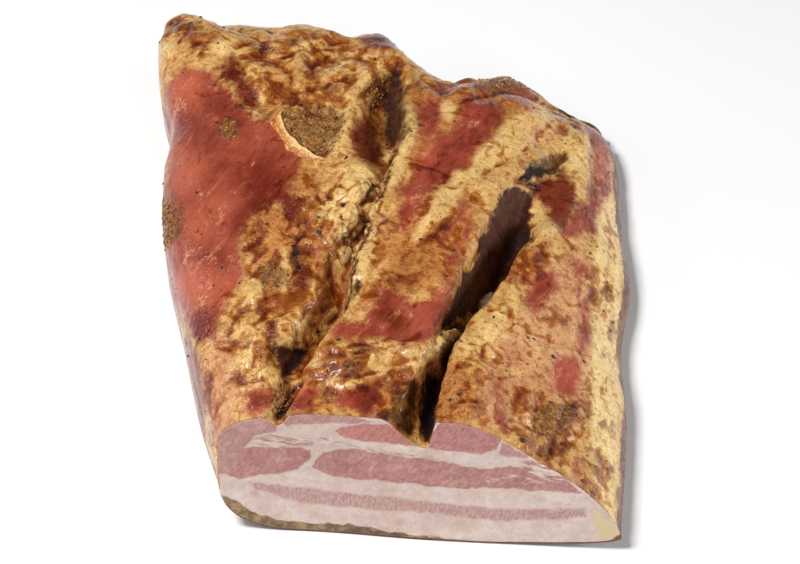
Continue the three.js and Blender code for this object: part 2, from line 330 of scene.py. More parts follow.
def row_positions(rows):
    """Even steps up to where the back rounds down, then steps that crowd towards the rim."""
    t = np.linspace(0, 1, rows)
    straight = 1 - BACK_ROWS_SHARE
    turn = np.clip((t - straight) / BACK_ROWS_SHARE, 0, 1) * np.pi / 2
    over = mix(BACK_BEGINS, 1, np.sin(turn) ** (2 / BACK_ROUNDNESS))
    return np.where(t < straight, t / straight * BACK_BEGINS, over)


def column_positions(along, columns):
    """For each row, the values of across that cut its surface into equal lengths."""
    samples = -np.cos(np.pi * np.linspace(0, 1, WALK_STEPS))
    walk = crust_surface(*np.meshgrid(samples, along), with_lumps=False)
    steps = np.linalg.norm(np.diff(walk, axis=1), axis=-1)
    walked = np.concatenate([np.zeros((len(along), 1)), np.cumsum(steps, axis=1)], axis=1)
    shift = 1e5 * np.arange(len(along))[:, None]
    targets = walked[:, -1:] * np.linspace(0, 1, columns)
    across = np.interp(
        (targets + shift).ravel(), (walked + shift).ravel(), np.tile(samples, len(along))
    )
    return across.reshape(len(along), columns)


along_rows = row_positions(ROWS + 1)
across = column_positions(along_rows, COLUMNS + 1)
along = np.repeat(along_rows[:, None], COLUMNS + 1, axis=1)
base = crust_surface(across, along)
rind_corner = rind_surface(across, along)
corners = np.concatenate([base.reshape(-1, 3), rind_corner.reshape(-1, 3)])
box_low, box_high = (1000 * np.array(corner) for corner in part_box("brisket"))
SHIFT = (box_low + box_high) / 2 - (corners.min(0) + corners.max(0)) / 2
SHIFT[2] = 0
print("grid:", across.shape, "own size:", np.round(np.ptp(corners, axis=0), 1), "shift:", np.round(SHIFT, 1))

# %% [markdown]
# ## The camera comes early
#
# The pattern of the crust is known only from the photograph. To place it, each point of the
# surface is followed into the picture, so the camera's numbers are needed before the pattern.
# The view is from in front of the cut, 45 degrees above the floor, through a long lens.

# %% The camera's numbers, and where a point lands in the picture
LENS = 135
SENSOR = 36
IMAGE_WIDTH, IMAGE_HEIGHT = 800, 564
MM_PER_PIXEL = 0.44
CUT_FOOT_PIXEL = (418, 543)  # where the middle of the cut meets the floor in the photograph
ELEVATION = np.radians(45)

distance = IMAGE_WIDTH * MM_PER_PIXEL * LENS / SENSOR
forward = np.array([0, np.cos(ELEVATION), -np.sin(ELEVATION)])
up = np.array([0, np.sin(ELEVATION), np.cos(ELEVATION)])
camera_place = SHIFT - forward * distance
camera_place[0] -= (CUT_FOOT_PIXEL[0] - IMAGE_WIDTH / 2) * MM_PER_PIXEL
camera_place += up * (CUT_FOOT_PIXEL[1] - IMAGE_HEIGHT / 2) * MM_PER_PIXEL


def picture_place(points):
    """Column and row of each point in the photograph: its offset sideways and upwards from the
    line of sight, times pixels per millimetre at its distance."""
    ray = points + SHIFT - camera_place
    scale = LENS / SENSOR * IMAGE_WIDTH / (ray @ forward)
    return IMAGE_WIDTH / 2 + ray[..., 0] * scale, IMAGE_HEIGHT / 2 - (ray @ up) * scale


print("camera at", np.round(camera_place), "mm")

# %% [markdown]
# ## Small relief: knobs, folds, cracks and grain
#
# The crust isn't smooth between its big forms. Back fat breaks up into round knobs with cracks
# between them, loose films of fat lie over the lean as rolls, and drying has wrinkled all of it.
# A bump texture would give the shading but leave the outline smooth, so everything above about
# a millimetre is moved in the mesh, along the surface's own normal. Only the grain below that is
# left to the materials.

# %% Tools for relief
LATTICE_SIZE = 48
LATTICE = np.random.default_rng(11).random((LATTICE_SIZE,) * 3)


def solid_noise(points, size, seed):
    """Value noise from -1 to 1 in space: trilinear mix of a random lattice, eased as 3s^2 - 2s^3."""
    p = points / size + 7.3 * seed + 100
    cell = np.floor(p).astype(int)
    u, v, w = np.moveaxis((p - cell) ** 2 * (3 - 2 * (p - cell)), -1, 0)
    i, j, k = np.moveaxis(cell, -1, 0)

    def corner(di, dj, dk):
        return LATTICE[(i + di) % LATTICE_SIZE, (j + dj) % LATTICE_SIZE, (k + dk) % LATTICE_SIZE]

    low = mix(mix(corner(0, 0, 0), corner(1, 0, 0), u), mix(corner(0, 1, 0), corner(1, 1, 0), u), v)
    high = mix(mix(corner(0, 0, 1), corner(1, 0, 1), u), mix(corner(0, 1, 1), corner(1, 1, 1), u), v)
    return 2 * mix(low, high, w) - 1


def cells(points, size, seed):
    """Distance to the nearest and the second nearest of the points scattered one to a cube, over the
    cube's size."""
    p = points / size + 100
    nearest = np.full(p.shape[:-1], 9.0)
    second = nearest.copy()
    for offset in np.ndindex(3, 3, 3):
        cube = np.floor(p).astype(int) + np.array(offset) - 1
        i, j, k = np.moveaxis(cube % LATTICE_SIZE, -1, 0)
        spot = [LATTICE[i, j, (k + shift + seed) % LATTICE_SIZE] for shift in (0, 16, 32)]
        distance = np.linalg.norm(p - cube - np.stack(spot, axis=-1), axis=-1)
        second = np.minimum(second, np.maximum(nearest, distance))
        nearest = np.minimum(nearest, distance)
    return nearest, second


def path_distance(x, y, path):
    """Distance in plan to a line through the path's points, and the share of the path passed."""
    points = np.array(path, float)
    best = np.full(x.shape, np.inf)
    share = np.zeros(x.shape)
    count = len(points) - 1
    for k in range(count):
        ax, ay = points[k]
        dx, dy = points[k + 1] - points[k]
        t = np.clip(((x - ax) * dx + (y - ay) * dy) / (dx * dx + dy * dy), 0, 1)
        distance = np.hypot(x - ax - t * dx, y - ay - t * dy)
        nearer = distance < best
        best = np.where(nearer, distance, best)
        share = np.where(nearer, (k + t) / count, share)
    return best, share


def surface_normals(points):
    """Unit cross product of the differences along the columns and along the rows."""
    normals = np.cross(np.gradient(points, axis=1), np.gradient(points, axis=0))
    return normals / np.maximum(np.linalg.norm(normals, axis=-1, keepdims=True), 1e-9)


# %% Rolls, cracks and knobs of this slab
# Each roll: half width at its start and its end, height, and the points it passes.
ROLLS = [
    (9, 8, 4.2, [(-48, 41), (-37, 44), (-27, 44), (-19, 46), (-10, 49)]),  # fold along the front
    (7, 3, 3.6, [(-12, 49), (-4, 51), (3, 56), (8, 64), (12, 75)]),  # its tongue to the right crease
    (3.5, 3, 1.8, [(-19, 132), (-23, 117), (-26, 107), (-28, 98)]),  # cream edge of the middle ridge
    (4, 4, 1.2, [(19, 174), (13, 159), (8, 141), (2, 127)]),
    (6, 5, 2.0, [(67, 215), (54, 198), (41, 180), (29, 165), (21, 161)]),  # above the right crease
    (4, 4, 1.6, [(-18, 253), (-24, 240), (-31, 224)]),
    (4, 4, 1.8, [(-30, 209), (-35, 195), (-39, 183)]),
    (5, 4, 1.5, [(-83, 252), (-78, 243), (-74, 232), (-73, 222)]),
    (3, 2, 1.2, [(-82, 119), (-81, 108), (-78, 98), (-75, 90)]),
    (4, 3, 1.6, [(-53, 172), (-58, 158), (-62, 145), (-67, 137)]),
    (3, 3, 0.9, [(-94, 243), (-87, 229), (-82, 217), (-79, 209)]),
    (6, 6, 1.6, [(80, 240), (79, 222), (77, 204)]),  # cream bead right of the pocket
    (4, 3, 1.6, [(-33, 70), (-28, 75), (-21, 76)]),
    (3.4, 2.6, 4.0, [(-6, 50), (2, 55), (9, 63), (15, 71), (22, 78), (28, 88)]),  # film over the slit
]

# Each crack: half width, depth, and the points it passes.
CRACKS = [
    (2.6, 2.6, [(-51, 37), (-55, 29), (-60, 20), (-62, 8)]),  # left edge of the front slab
    (1.6, 0.4, [(92, 169), (88, 127), (85, 97), (82, 57), (80, 30)]),  # seam down the right flank
    (2.4, 3.0, [(47, 179), (52, 184), (58, 188)]),
    (1.5, 1.6, [(-46, 150), (-40, 140), (-43, 128)]),
    (2.2, 1.8, [(-39, 80), (-34, 88), (-33, 102), (-30, 120), (-24, 136), (-19, 152)]),
]

# Each field of knobs: an ellipse as in the swellings, then the knob size and height.
KNOBS = [
    (-29, 139, 15, 29, -4, 9, 3.0),  # curd-like fat by the left crease
    (-64, 57, 15, 26, -23, 11, 1.2),
    (34, 60, 12, 18, -14, 10, 1.4),
    (-60, 268, 40, 22, 0, 10, 1.0),
]


def rolls(x, y):
    """height * (1 - (d / half width)^2)^0.8 beside each path, lower at its ends, with d made uneven."""
    total = np.zeros_like(x)
    uneven = 1.6 * flat_noise(x / 6 + 4, y / 6) + 0.7 * flat_noise(x / 2.7, y / 2.7 + 9)
    for start, end, height, path in ROLLS:
        distance, share = path_distance(x, y, path)
        inside = np.maximum(0, 1 - ((distance + uneven) / mix(start, end, share)) ** 2)
        tapered = height * (0.75 + 0.25 * uneven) * np.sin(np.pi * np.clip(share, 0.06, 0.94)) ** 0.6
        total = np.maximum(total, tapered * inside**0.8)
    return total


def cracks(x, y):
    """depth * (1 - d / half width)^1.5 beside each path: a narrow V."""
    total = np.zeros_like(x)
    for half_width, depth, path in CRACKS:
        distance, _ = path_distance(x, y, path)
        total = np.maximum(total, depth * np.maximum(0, 1 - distance / half_width) ** 1.5)
    return total


def domes(points, size, seed):
    """Rounded lumps with creases between: the eased difference of the second nearest and the
    nearest, less its mean, over a shape that a noise has bent."""
    bend = np.stack([solid_noise(points, 0.8 * size, seed + k) for k in range(3)], axis=-1)
    nearest, second = cells(points + 0.3 * size * bend, size, seed)
    return smooth_step(second - nearest, -0.15, 0.6) - 0.6


def knobs(points):
    """height * domes, inside each ellipse."""
    total = np.zeros(points.shape[:-1])
    for seed, (*ellipse, size, height) in enumerate(KNOBS):
        inside = smooth_step(1.15 - np.sqrt(turned(points[..., 0], points[..., 1], *ellipse)), 0, 0.35)
        total += height * inside * domes(points, size, seed)
    return total


# %% [markdown]
# ## Where the lean, the cream fat and the stains lie
#
# The crust's pattern isn't random. Bare muscle shows where the knife followed it, fat covers the rest, and
# smoke and spice have stained certain places. A noise alone would put them anywhere, and painting an image is
# ruled out. So the patches were read from the photograph, and each is typed as a shape in its picture, in
# pixels: an outline, an ellipse or a stroke. The shapes of one kind make a field: above zero inside, below
# zero outside. The material turns a field into an edge, roughened by its noise.

# %% Shapes in the picture
def blob(column, row, half_width, half_height, turn=0):
    """Ellipse: (1 - r) * smaller half axis, with r the radius in its own measure."""
    smaller = min(half_width, half_height)
    return lambda u, v: (1 - np.sqrt(turned(u, v, column, row, half_width, half_height, turn))) * smaller


def stroke(half_width, *path):
    """Brush stroke: half width - distance to the path."""
    return lambda u, v: half_width - path_distance(u, v, path)[0]


def area(*outline):
    """Closed outline: distance to it, counted as positive where a level ray crosses it an odd
    number of times."""

    def field(u, v):
        odd = np.zeros(u.shape, bool)
        for (x0, y0), (x1, y1) in zip(outline, (*outline[1:], outline[0])):
            if y0 != y1:
                odd ^= ((y0 > v) != (y1 > v)) & (u < x0 + (x1 - x0) * (v - y0) / (y1 - y0))
        edge, _ = path_distance(u, v, (*outline, outline[0]))
        return np.where(odd, edge, -edge)

    return field


def picture_field(column, row, shapes):
    """Largest field of the shapes, in pixels."""
    total = np.full(column.shape, -30.0)
    for shape in shapes:
        total = np.maximum(total, shape(column, row))
    return total


# %% Lean
LEAN = [
    area(  # bare muscle on the left
        (164, 95), (172, 80), (182, 72), (192, 69), (205, 70), (214, 76), (222, 84), (232, 94), (240, 102),
        (250, 112), (262, 118), (275, 118), (282, 135), (295, 150), (300, 160), (297, 172), (290, 185),
        (284, 198), (270, 208), (254, 216), (244, 228), (240, 245), (243, 262), (243, 280), (234, 292),
        (220, 300), (206, 306), (196, 318), (184, 322), (174, 305), (164, 275), (158, 240), (160, 200),
        (164, 150), (162, 120),
    ),
    area((196, 290), (225, 292), (224, 312), (214, 338), (200, 345), (190, 322)),
    area(  # strip low on the left flank
        (183, 345), (190, 352), (200, 358), (205, 372), (206, 395), (205, 415), (203, 425), (198, 430),
        (193, 405), (190, 385), (186, 365),
    ),
    area((248, 390), (262, 385), (272, 395), (270, 408), (262, 418), (250, 418), (242, 410), (244, 400)),
    blob(216, 418, 4, 14),
    area(  # slab behind the cut
        (325, 388), (345, 388), (370, 385), (378, 390), (378, 402), (372, 412), (362, 412), (350, 410),
        (335, 405), (325, 400),
    ),
    area(
        (300, 385), (318, 384), (322, 392), (316, 400), (314, 408), (300, 410), (285, 412), (288, 402),
        (294, 394),
    ),
    area(  # middle ridge, front
        (366, 312), (374, 300), (384, 288), (396, 292), (412, 300), (425, 298), (440, 287), (455, 276),
        (458, 290), (452, 306), (445, 320), (436, 336), (424, 344), (402, 346), (384, 342), (368, 336),
        (350, 340), (332, 338), (330, 326), (345, 320), (358, 322),
    ),
    area((418, 100), (440, 100), (440, 118), (438, 130), (430, 140), (422, 135), (416, 118)),
    area(  # middle ridge, back
        (462, 100), (480, 98), (500, 105), (505, 115), (500, 125), (490, 140), (478, 150), (470, 165),
        (455, 172), (440, 175), (428, 172), (420, 160), (424, 145), (440, 135), (455, 125),
    ),
    area(
        (418, 150), (440, 158), (455, 170), (450, 180), (438, 188), (430, 195), (425, 205), (418, 215),
        (410, 228), (404, 236), (400, 232), (398, 215), (400, 200), (396, 190), (400, 182), (412, 178),
    ),
    stroke(3, (470, 200), (458, 220), (444, 240)),
    stroke(3, (472, 216), (462, 240), (450, 264)),
    area((480, 80), (520, 80), (533, 90), (538, 98), (530, 106), (515, 100), (500, 92), (485, 92)),
    area(  # strip along the right edge
        (578, 118), (592, 122), (604, 132), (612, 142), (615, 160), (612, 180), (606, 200), (598, 215),
        (592, 232), (580, 238), (565, 238), (560, 232), (575, 210), (585, 200), (590, 185), (594, 165),
        (593, 148), (588, 132),
    ),
    area(  # on the right lobe
        (530, 280), (540, 275), (550, 272), (557, 278), (560, 290), (552, 300), (545, 310), (538, 316),
        (530, 312), (525, 300), (528, 290),
    ),
    area(
        (552, 358), (565, 355), (578, 358), (580, 372), (578, 388), (570, 395), (560, 395), (552, 385),
        (549, 372),
    ),
    blob(582, 271, 8, 9),
    stroke(3.5, (579, 290), (585, 300), (584, 320), (582, 340), (583, 360)),
    stroke(5, (497, 385), (493, 405), (505, 430)),
    area((572, 462), (578, 460), (580, 480), (580, 492), (574, 485), (570, 472)),
]
DARK_LEAN = [
    area(  # wedge at the back left
        (232, 56), (244, 72), (252, 92), (260, 108), (250, 112), (240, 100), (228, 85), (218, 76), (222, 64),
    ),
    area((358, 38), (368, 34), (378, 32), (388, 34), (397, 42), (400, 50), (388, 52), (376, 52), (366, 46)),
    area(  # beside the hollow
        (355, 122), (366, 120), (374, 130), (382, 145), (380, 158), (376, 168), (364, 166), (356, 158),
        (352, 146), (350, 134),
    ),
    area((254, 186), (268, 180), (276, 188), (272, 200), (264, 211), (252, 214), (246, 204)),
    area((282, 195), (300, 195), (310, 200), (305, 210), (290, 225), (282, 215)),
    # The pocket's dark lean also paints the shade inside the pocket.
    area(  # pocket of the right crease
        (530, 181), (546, 178), (560, 177), (564, 168), (571, 176), (578, 190), (577, 200), (572, 212),
        (562, 229), (554, 222), (546, 212), (536, 199), (531, 190),
    ),
    blob(600, 190, 9, 11, 20),
    area(  # spot on the middle ridge
        (375, 300), (382, 302), (388, 308), (400, 310), (407, 318), (405, 328), (398, 334), (390, 328),
        (384, 320), (376, 316),
    ),
    blob(186, 345, 6, 8),
    blob(203, 330, 8, 12),
    blob(240, 380, 10, 8),
    stroke(1.5, (206, 370), (209, 400), (210, 440)),
    blob(362, 398, 12, 9),
    blob(540, 290, 9, 12, 25),
    blob(256, 402, 7, 10),
]

# %% Fat: cream, pink and amber
CREAM = [
    blob(168, 48, 10, 7), blob(228, 48, 14, 9), blob(304, 50, 10, 12), blob(342, 66, 14, 9),
    blob(250, 65, 8, 8), blob(392, 156, 7, 9), blob(448, 110, 8, 9), blob(450, 135, 6, 6),
    blob(168, 222, 4, 8), blob(252, 290, 9, 16, -15), blob(310, 290, 6, 14), blob(296, 325, 12, 26, 10),
    blob(392, 356, 10, 8), blob(412, 350, 8, 5), blob(440, 343, 5, 8), blob(500, 312, 8, 6),
    blob(492, 335, 9, 14), blob(515, 297, 4, 18), blob(472, 345, 13, 10), blob(530, 445, 10, 8),
    blob(214, 445, 6, 5),
    area((242, 60), (252, 62), (262, 68), (268, 78), (266, 90), (262, 104), (256, 98), (250, 84), (244, 72)),
    stroke(4, (380, 62), (372, 75), (362, 88), (352, 100), (345, 112), (338, 130), (330, 145)),
    stroke(6, (407, 108), (410, 125), (406, 145), (400, 165), (393, 180)),
    area(  # across the back right
        (478, 145), (490, 138), (500, 130), (512, 118), (525, 112), (545, 112), (548, 122), (540, 132),
        (530, 145), (520, 155), (505, 158), (495, 165), (480, 178), (465, 190), (460, 188), (462, 175),
        (470, 165),
    ),
    area(  # bead right of the pocket
        (566, 135), (572, 128), (580, 126), (588, 130), (592, 145), (593, 160), (590, 178), (584, 190),
        (580, 200), (575, 195), (570, 185), (566, 170), (564, 155), (562, 145),
    ),
    area(  # curd-like fat beside the left crease
        (340, 165), (352, 162), (365, 166), (378, 176), (385, 186), (383, 200), (378, 212), (370, 220),
        (364, 232), (360, 245), (355, 262), (345, 268), (335, 262), (328, 245), (322, 225), (320, 208),
        (330, 198), (340, 185),
    ),
    area(  # front edge of the middle ridge
        (372, 222), (378, 225), (376, 238), (372, 250), (370, 262), (366, 275), (360, 280), (356, 272),
        (358, 258), (362, 245), (366, 232),
    ),
    area(  # stripe along the middle ridge
        (455, 172), (470, 168), (470, 185), (460, 200), (448, 215), (440, 228), (430, 235), (420, 240),
        (412, 238), (418, 225), (426, 212), (434, 198), (444, 185),
    ),
    stroke(2, (357, 300), (365, 288), (378, 272), (390, 258)),
    stroke(2, (238, 240), (240, 258), (243, 275), (246, 285), (250, 300)),
    stroke(3, (285, 250), (283, 300)),
    stroke(3, (350, 120), (342, 138), (334, 154)),
    area(  # mass at the front left
        (235, 325), (250, 320), (262, 330), (258, 345), (255, 358), (262, 368), (275, 372), (280, 378),
        (272, 384), (262, 380), (248, 372), (238, 362), (232, 350), (230, 338),
    ),
    stroke(4, (320, 385), (345, 383), (372, 378), (385, 370), (400, 368), (420, 362), (435, 355), (444, 345)),
    stroke(3, (318, 352), (330, 348), (345, 346)),
    stroke(3, (370, 343), (385, 345), (400, 345)),
    area((530, 201), (538, 203), (548, 217), (556, 226), (563, 235), (550, 237), (536, 232), (530, 218)),
]
FLANK_FAT = [
    area(
        (598, 215), (612, 190), (618, 180), (622, 240), (622, 300), (620, 400), (618, 500), (612, 530),
        (604, 512), (592, 480), (590, 440), (592, 400), (590, 350), (594, 300), (592, 260),
    ),
]
# Pink fat; the blobs on glossy spots also paint their sheen.
PINK_FAT_AND_SHEEN = [
    blob(542, 135, 14, 9, -30), blob(560, 308, 9, 22), blob(222, 215, 12, 26, 10), blob(425, 330, 9, 11),
    blob(212, 272, 28, 10),
    area(  # right lobe
        (545, 262), (575, 250), (590, 262), (588, 330), (584, 400), (575, 440), (548, 400), (520, 370),
        (505, 365), (500, 430), (470, 425), (478, 380), (500, 340), (520, 310), (535, 285),
    ),
    area((200, 340), (228, 330), (236, 370), (240, 430), (222, 440), (208, 432), (206, 390)),
    area((508, 365), (530, 368), (536, 395), (532, 425), (515, 430), (506, 410), (503, 385)),
]
AMBER = [
    area(  # middle ridge, front
        (400, 190), (430, 190), (470, 195), (480, 215), (468, 250), (456, 275), (440, 290), (410, 296),
        (384, 292), (366, 312), (350, 322), (362, 290), (378, 262), (386, 232), (396, 210),
    ),
    area(  # middle ridge, back
        (410, 85), (470, 80), (530, 100), (540, 112), (510, 120), (490, 140), (470, 170), (440, 190),
        (410, 190), (405, 160), (412, 125),
    ),
    area(  # between the bare muscle and the left crease
        (244, 222), (290, 205), (318, 215), (335, 260), (340, 300), (325, 325), (300, 315), (285, 300),
        (262, 300), (250, 270),
    ),
    area(  # behind the cut
        (280, 384), (320, 380), (380, 376), (412, 380), (400, 425), (380, 418), (350, 412), (300, 412),
    ),
    area((290, 166), (305, 160), (318, 168), (320, 190), (308, 198), (290, 196)),
    area((330, 326), (352, 322), (375, 330), (372, 345), (345, 346), (328, 342)),
    area(  # lip of the slit
        (513, 257), (525, 248), (538, 240), (548, 237), (552, 245), (545, 262), (540, 275), (530, 285),
        (520, 290), (510, 285), (503, 280),
    ),
    area((440, 360), (458, 358), (470, 372), (472, 398), (466, 420), (448, 424), (436, 430), (434, 405)),
    blob(512, 352, 9, 13),
    blob(504, 146, 6, 6), blob(205, 40, 20, 8, -10), blob(275, 90, 10, 18),
]

# %% Stains, spice, dark places, painted sheen and painted shade
# Soft differences inside the bare muscle: paler and pinker patches that also paint its sheen, and deeper red
# ones.
FLUSH_AND_SHEEN = [
    blob(190, 88, 20, 16, 20), blob(187, 170, 15, 26), blob(205, 283, 28, 20, 25), blob(238, 262, 6, 22, -30),
    blob(224, 205, 14, 12), blob(198, 225, 12, 14), blob(286, 245, 9, 14),
]
DEEP = [
    blob(225, 112, 26, 16, 35), blob(186, 124, 20, 20), blob(262, 180, 34, 18, 30), blob(196, 260, 30, 9, -5),
    blob(197, 330, 20, 18, 20), blob(285, 205, 16, 12), blob(245, 225, 12, 14),
]
SUNKEN = [
    area(  # under the loose flap
        (285, 112), (300, 106), (318, 107), (334, 112), (346, 120), (342, 134), (334, 148), (326, 157),
        (312, 155), (298, 144), (288, 130),
    ),
]

BROWN = [
    stroke(2.2, (287, 113), (286, 122), (291, 133), (299, 143), (308, 150), (318, 155)),
    stroke(4, (165, 34), (180, 26), (200, 26)), blob(262, 52, 14, 10), blob(262, 312, 5, 8),
    blob(272, 335, 5, 18, 10), blob(345, 368, 18, 9), blob(368, 350, 12, 7), blob(392, 386, 8, 9),
    blob(512, 270, 7, 9), blob(593, 293, 6, 10), blob(607, 297, 5, 10), blob(612, 330, 3, 9),
    blob(552, 450, 14, 8), blob(392, 256, 3, 3), blob(397, 230, 3, 3), blob(420, 262, 3, 3),
    blob(392, 280, 4, 4), blob(560, 112, 20, 6, 30), blob(302, 42, 7, 6), blob(315, 76, 7, 11),
    blob(302, 270, 10, 22), blob(325, 300, 9, 14), blob(250, 345, 5, 5), blob(200, 52, 8, 5),
    blob(597, 455, 4, 8), blob(597, 472, 4, 7), blob(595, 492, 4, 7), blob(594, 507, 6, 6),
    blob(590, 410, 2, 6), blob(575, 408, 4, 6), blob(604, 425, 3, 3), blob(610, 470, 3, 3),
    blob(617, 495, 2, 6), blob(615, 425, 2, 4), blob(615, 440, 2, 4), blob(487, 92, 14, 7, 10),
    blob(480, 410, 8, 8), blob(292, 100, 6, 9), blob(330, 90, 10, 6),
]
OLIVE = [
    area(  # wet pocket
        (519, 179), (526, 168), (534, 160), (545, 154), (556, 152), (568, 153), (571, 161), (562, 166),
        (558, 176), (548, 178), (534, 179), (526, 186),
    ),
    area(  # slope left of the notch
        (395, 392), (410, 380), (420, 378), (418, 395), (413, 412), (408, 428), (400, 425), (390, 418),
        (385, 420), (388, 405),
    ),
    area((448, 325), (465, 322), (462, 335), (455, 345), (447, 360), (443, 370), (440, 350)),
]
SPICE = [
    *SUNKEN,
    area((160, 200), (172, 198), (178, 208), (180, 225), (175, 240), (166, 248), (158, 240)),
    blob(272, 277, 12, 13), blob(283, 402, 8, 17, 15), blob(230, 128, 9, 10), blob(376, 92, 8, 18, 20),
    blob(330, 396, 8, 7), blob(505, 84, 22, 5, 5),
    area(
        (535, 412), (545, 402), (560, 405), (572, 410), (570, 425), (565, 435), (550, 438), (538, 432),
        (532, 425),
    ),
]
SHADE = [
    area(  # hollow at the back
        (398, 66), (404, 80), (406, 95), (408, 110), (406, 130), (400, 142), (390, 150), (384, 132),
        (382, 110), (384, 90), (390, 74),
    ),
    area((422, 385), (434, 376), (437, 400), (436, 440), (424, 440), (419, 420)),
]
# Dark juice in the slit, and painted shade in the slit, the hollows, the notch and the cracks between the
# curds.
DARK_JUICE_AND_SHADE = [
    area(  # slit
        (518, 186), (530, 190), (531, 205), (529, 226), (534, 238), (522, 248), (511, 261), (503, 274),
        (496, 286), (488, 298), (478, 310), (462, 319), (449, 326), (440, 333), (442, 318), (450, 302),
        (460, 285), (470, 266), (478, 246), (485, 230), (491, 214), (500, 198), (508, 189),
    ),
    area((520, 176), (528, 168), (540, 166), (550, 168), (546, 178), (530, 180)),
    stroke(
        2, (398, 152), (392, 165), (387, 178), (382, 195), (377, 210), (370, 222), (365, 235), (358, 255),
        (353, 268), (350, 285), (352, 300), (345, 310), (335, 318),
    ),
    blob(356, 288, 4, 11),
    area(  # hollow at the front left
        (268, 345), (280, 340), (292, 348), (305, 350), (312, 352), (306, 362), (295, 372), (284, 378),
        (280, 372), (276, 360),
    ),
    stroke(2, (300, 384), (293, 392), (285, 402), (280, 412), (278, 420)),
    area(  # notch
        (426, 372), (434, 378), (434, 395), (433, 410), (435, 420), (435, 430), (433, 443), (424, 443),
        (420, 430), (420, 418), (422, 405), (423, 385),
    ),
    stroke(1, (343, 205), (350, 213), (362, 218), (372, 221)),
    stroke(1, (383, 192), (375, 187), (366, 184)),
    stroke(1, (372, 186), (366, 198), (360, 205)),
    stroke(1, (341, 215), (342, 232), (346, 248), (348, 262)),
    stroke(1, (350, 232), (358, 245)),
    stroke(1, (300, 215), (296, 240), (293, 255), (298, 265)),
]
GREY_FAT = [
    area((482, 290), (490, 287), (497, 291), (490, 300), (483, 308), (475, 314), (470, 318), (474, 305)),
    blob(432, 372, 3, 9),
]

# Wide places where smoke has stained the fat most.
SMOKY = [
    blob(300, 72, 75, 42), blob(180, 32, 40, 12), blob(376, 95, 22, 45, 10), blob(310, 262, 30, 58),
    blob(272, 335, 45, 45), blob(355, 368, 62, 26), blob(402, 402, 26, 30), blob(545, 428, 40, 32, 35),
    blob(472, 88, 55, 14, 5), blob(565, 115, 28, 12, 35), blob(520, 262, 26, 26), blob(600, 290, 16, 24),
    blob(598, 470, 9, 50), blob(450, 245, 24, 30), blob(462, 385, 24, 34), blob(250, 250, 14, 30),
]

# Each kind with its shapes, and how often it turns up where the picture doesn't show the surface:
# 0 is half of it, -1 is a little, -2 is nothing.
PATTERN = {
    "cream": (CREAM, 0.0), "flank_fat": (FLANK_FAT, -2.0), "amber": (AMBER, 0.0),
    "pink_fat_and_sheen": (PINK_FAT_AND_SHEEN, -0.4), "lean": (LEAN, -0.3), "dark_lean": (DARK_LEAN, -0.8),
    "brown": (BROWN, -0.3), "olive": (OLIVE, -2.0),
    "spice": (SPICE, -0.95), "shade": (SHADE, -2.0), "dark": (DARK_JUICE_AND_SHADE, -2.0), "grey_fat": (GREY_FAT, -2.0),
    "smoky": (SMOKY, 0.0), "flush_and_sheen": (FLUSH_AND_SHEEN, -0.1), "deep": (DEEP, -0.1), "sunken": (SUNKEN, -2.0),
}  # fmt: skip
HIDDEN_PATCH_SIZE = 26
CREASE_SHADE_FROM = 6  # a wall of a crease that the picture doesn't show is dark from this depth
SEEN_FACING = (-0.12, 0.0)  # cosine to the line of sight at which the picture's pattern fades in
RIND_EDGE = (15, 14)  # height of the rind's brown edge on the left and on the right


# %% Fields
def waver(points, seed):
    """Pixels by which an edge read from the picture strays, in two sizes."""
    return 2.6 * solid_noise(points, 8, seed) + 1.6 * solid_noise(points, 3.5, seed + 1)


def crust_fields(points, facing, hollow):
    """All the fields of the crust at its points, in millimetres. A surface that faces the photograph takes
    its pattern from the picture, the rest from a slow noise, and its painted shade from how deep it lies in a
    crease."""
    column, row = picture_place(points)
    column = column + waver(points, 1)
    row = row + waver(points, 3)
    seen = smooth_step(facing, *SEEN_FACING)
    fields = {}
    for number, (kind, (shapes, often)) in enumerate(PATTERN.items()):
        slow = solid_noise(points, HIDDEN_PATCH_SIZE, 30 + number) + 0.4 * solid_noise(points, 7, 50 + number)
        drawn = MM_PER_PIXEL * picture_field(column, row, shapes)
        hidden = 8 * (slow + often)
        # Crease walls that the picture doesn't show get painted shade, darker as the crease is deeper.
        if kind == "dark":
            hidden = 0.6 * (crease_sum(points[..., 0], points[..., 1]) - CREASE_SHADE_FROM)
        fields[kind] = mix(hidden, drawn, seen)
    side = smooth_step(points[..., 0], -90, 90)
    rind_edge = mix(*RIND_EDGE, side) + 1.5 * solid_noise(points, 9, 5)
    fields["rind"] = rind_edge - points[..., 2]
    fields["hollow"] = hollow
    return fields


# %% [markdown]
# ## One closed crust
#
# Top, underside and cut are three sheets that share their edges, so the slab is one closed skin.
# The underside is plain and needs a tenth of the columns. A fan of triangles joins each of its
# cells to the many vertices of the crust's back edge and of the cut.

# %% Relief along the normals
LEAN_LIES_LOWER = 0.35  # mm
CALM_NEAR_CUT = 0.012  # share of the length over which the relief dies out towards the cut
# Kinds of patch that stand up or lie deeper: how far, and between which values of their field.
RAISED = {"cream": (1.1, -1.5, 3), "dark": (-0.8, -1, 1), "sunken": (-2.2, -1, 3)}

normals = surface_normals(base)
plan_x, plan_y = base[..., 0], base[..., 1]
facing = -(normals @ forward)


def along_creases(points):
    """The points turned 20 degrees and squeezed to two fifths along the creases, so that what is
    laid over them comes out as long folds."""
    angle = np.radians(20)
    x = points[..., 0] * np.cos(angle) - points[..., 1] * np.sin(angle)
    y = points[..., 0] * np.sin(angle) + points[..., 1] * np.cos(angle)
    return np.stack([x, 0.4 * y, points[..., 2]], axis=-1)


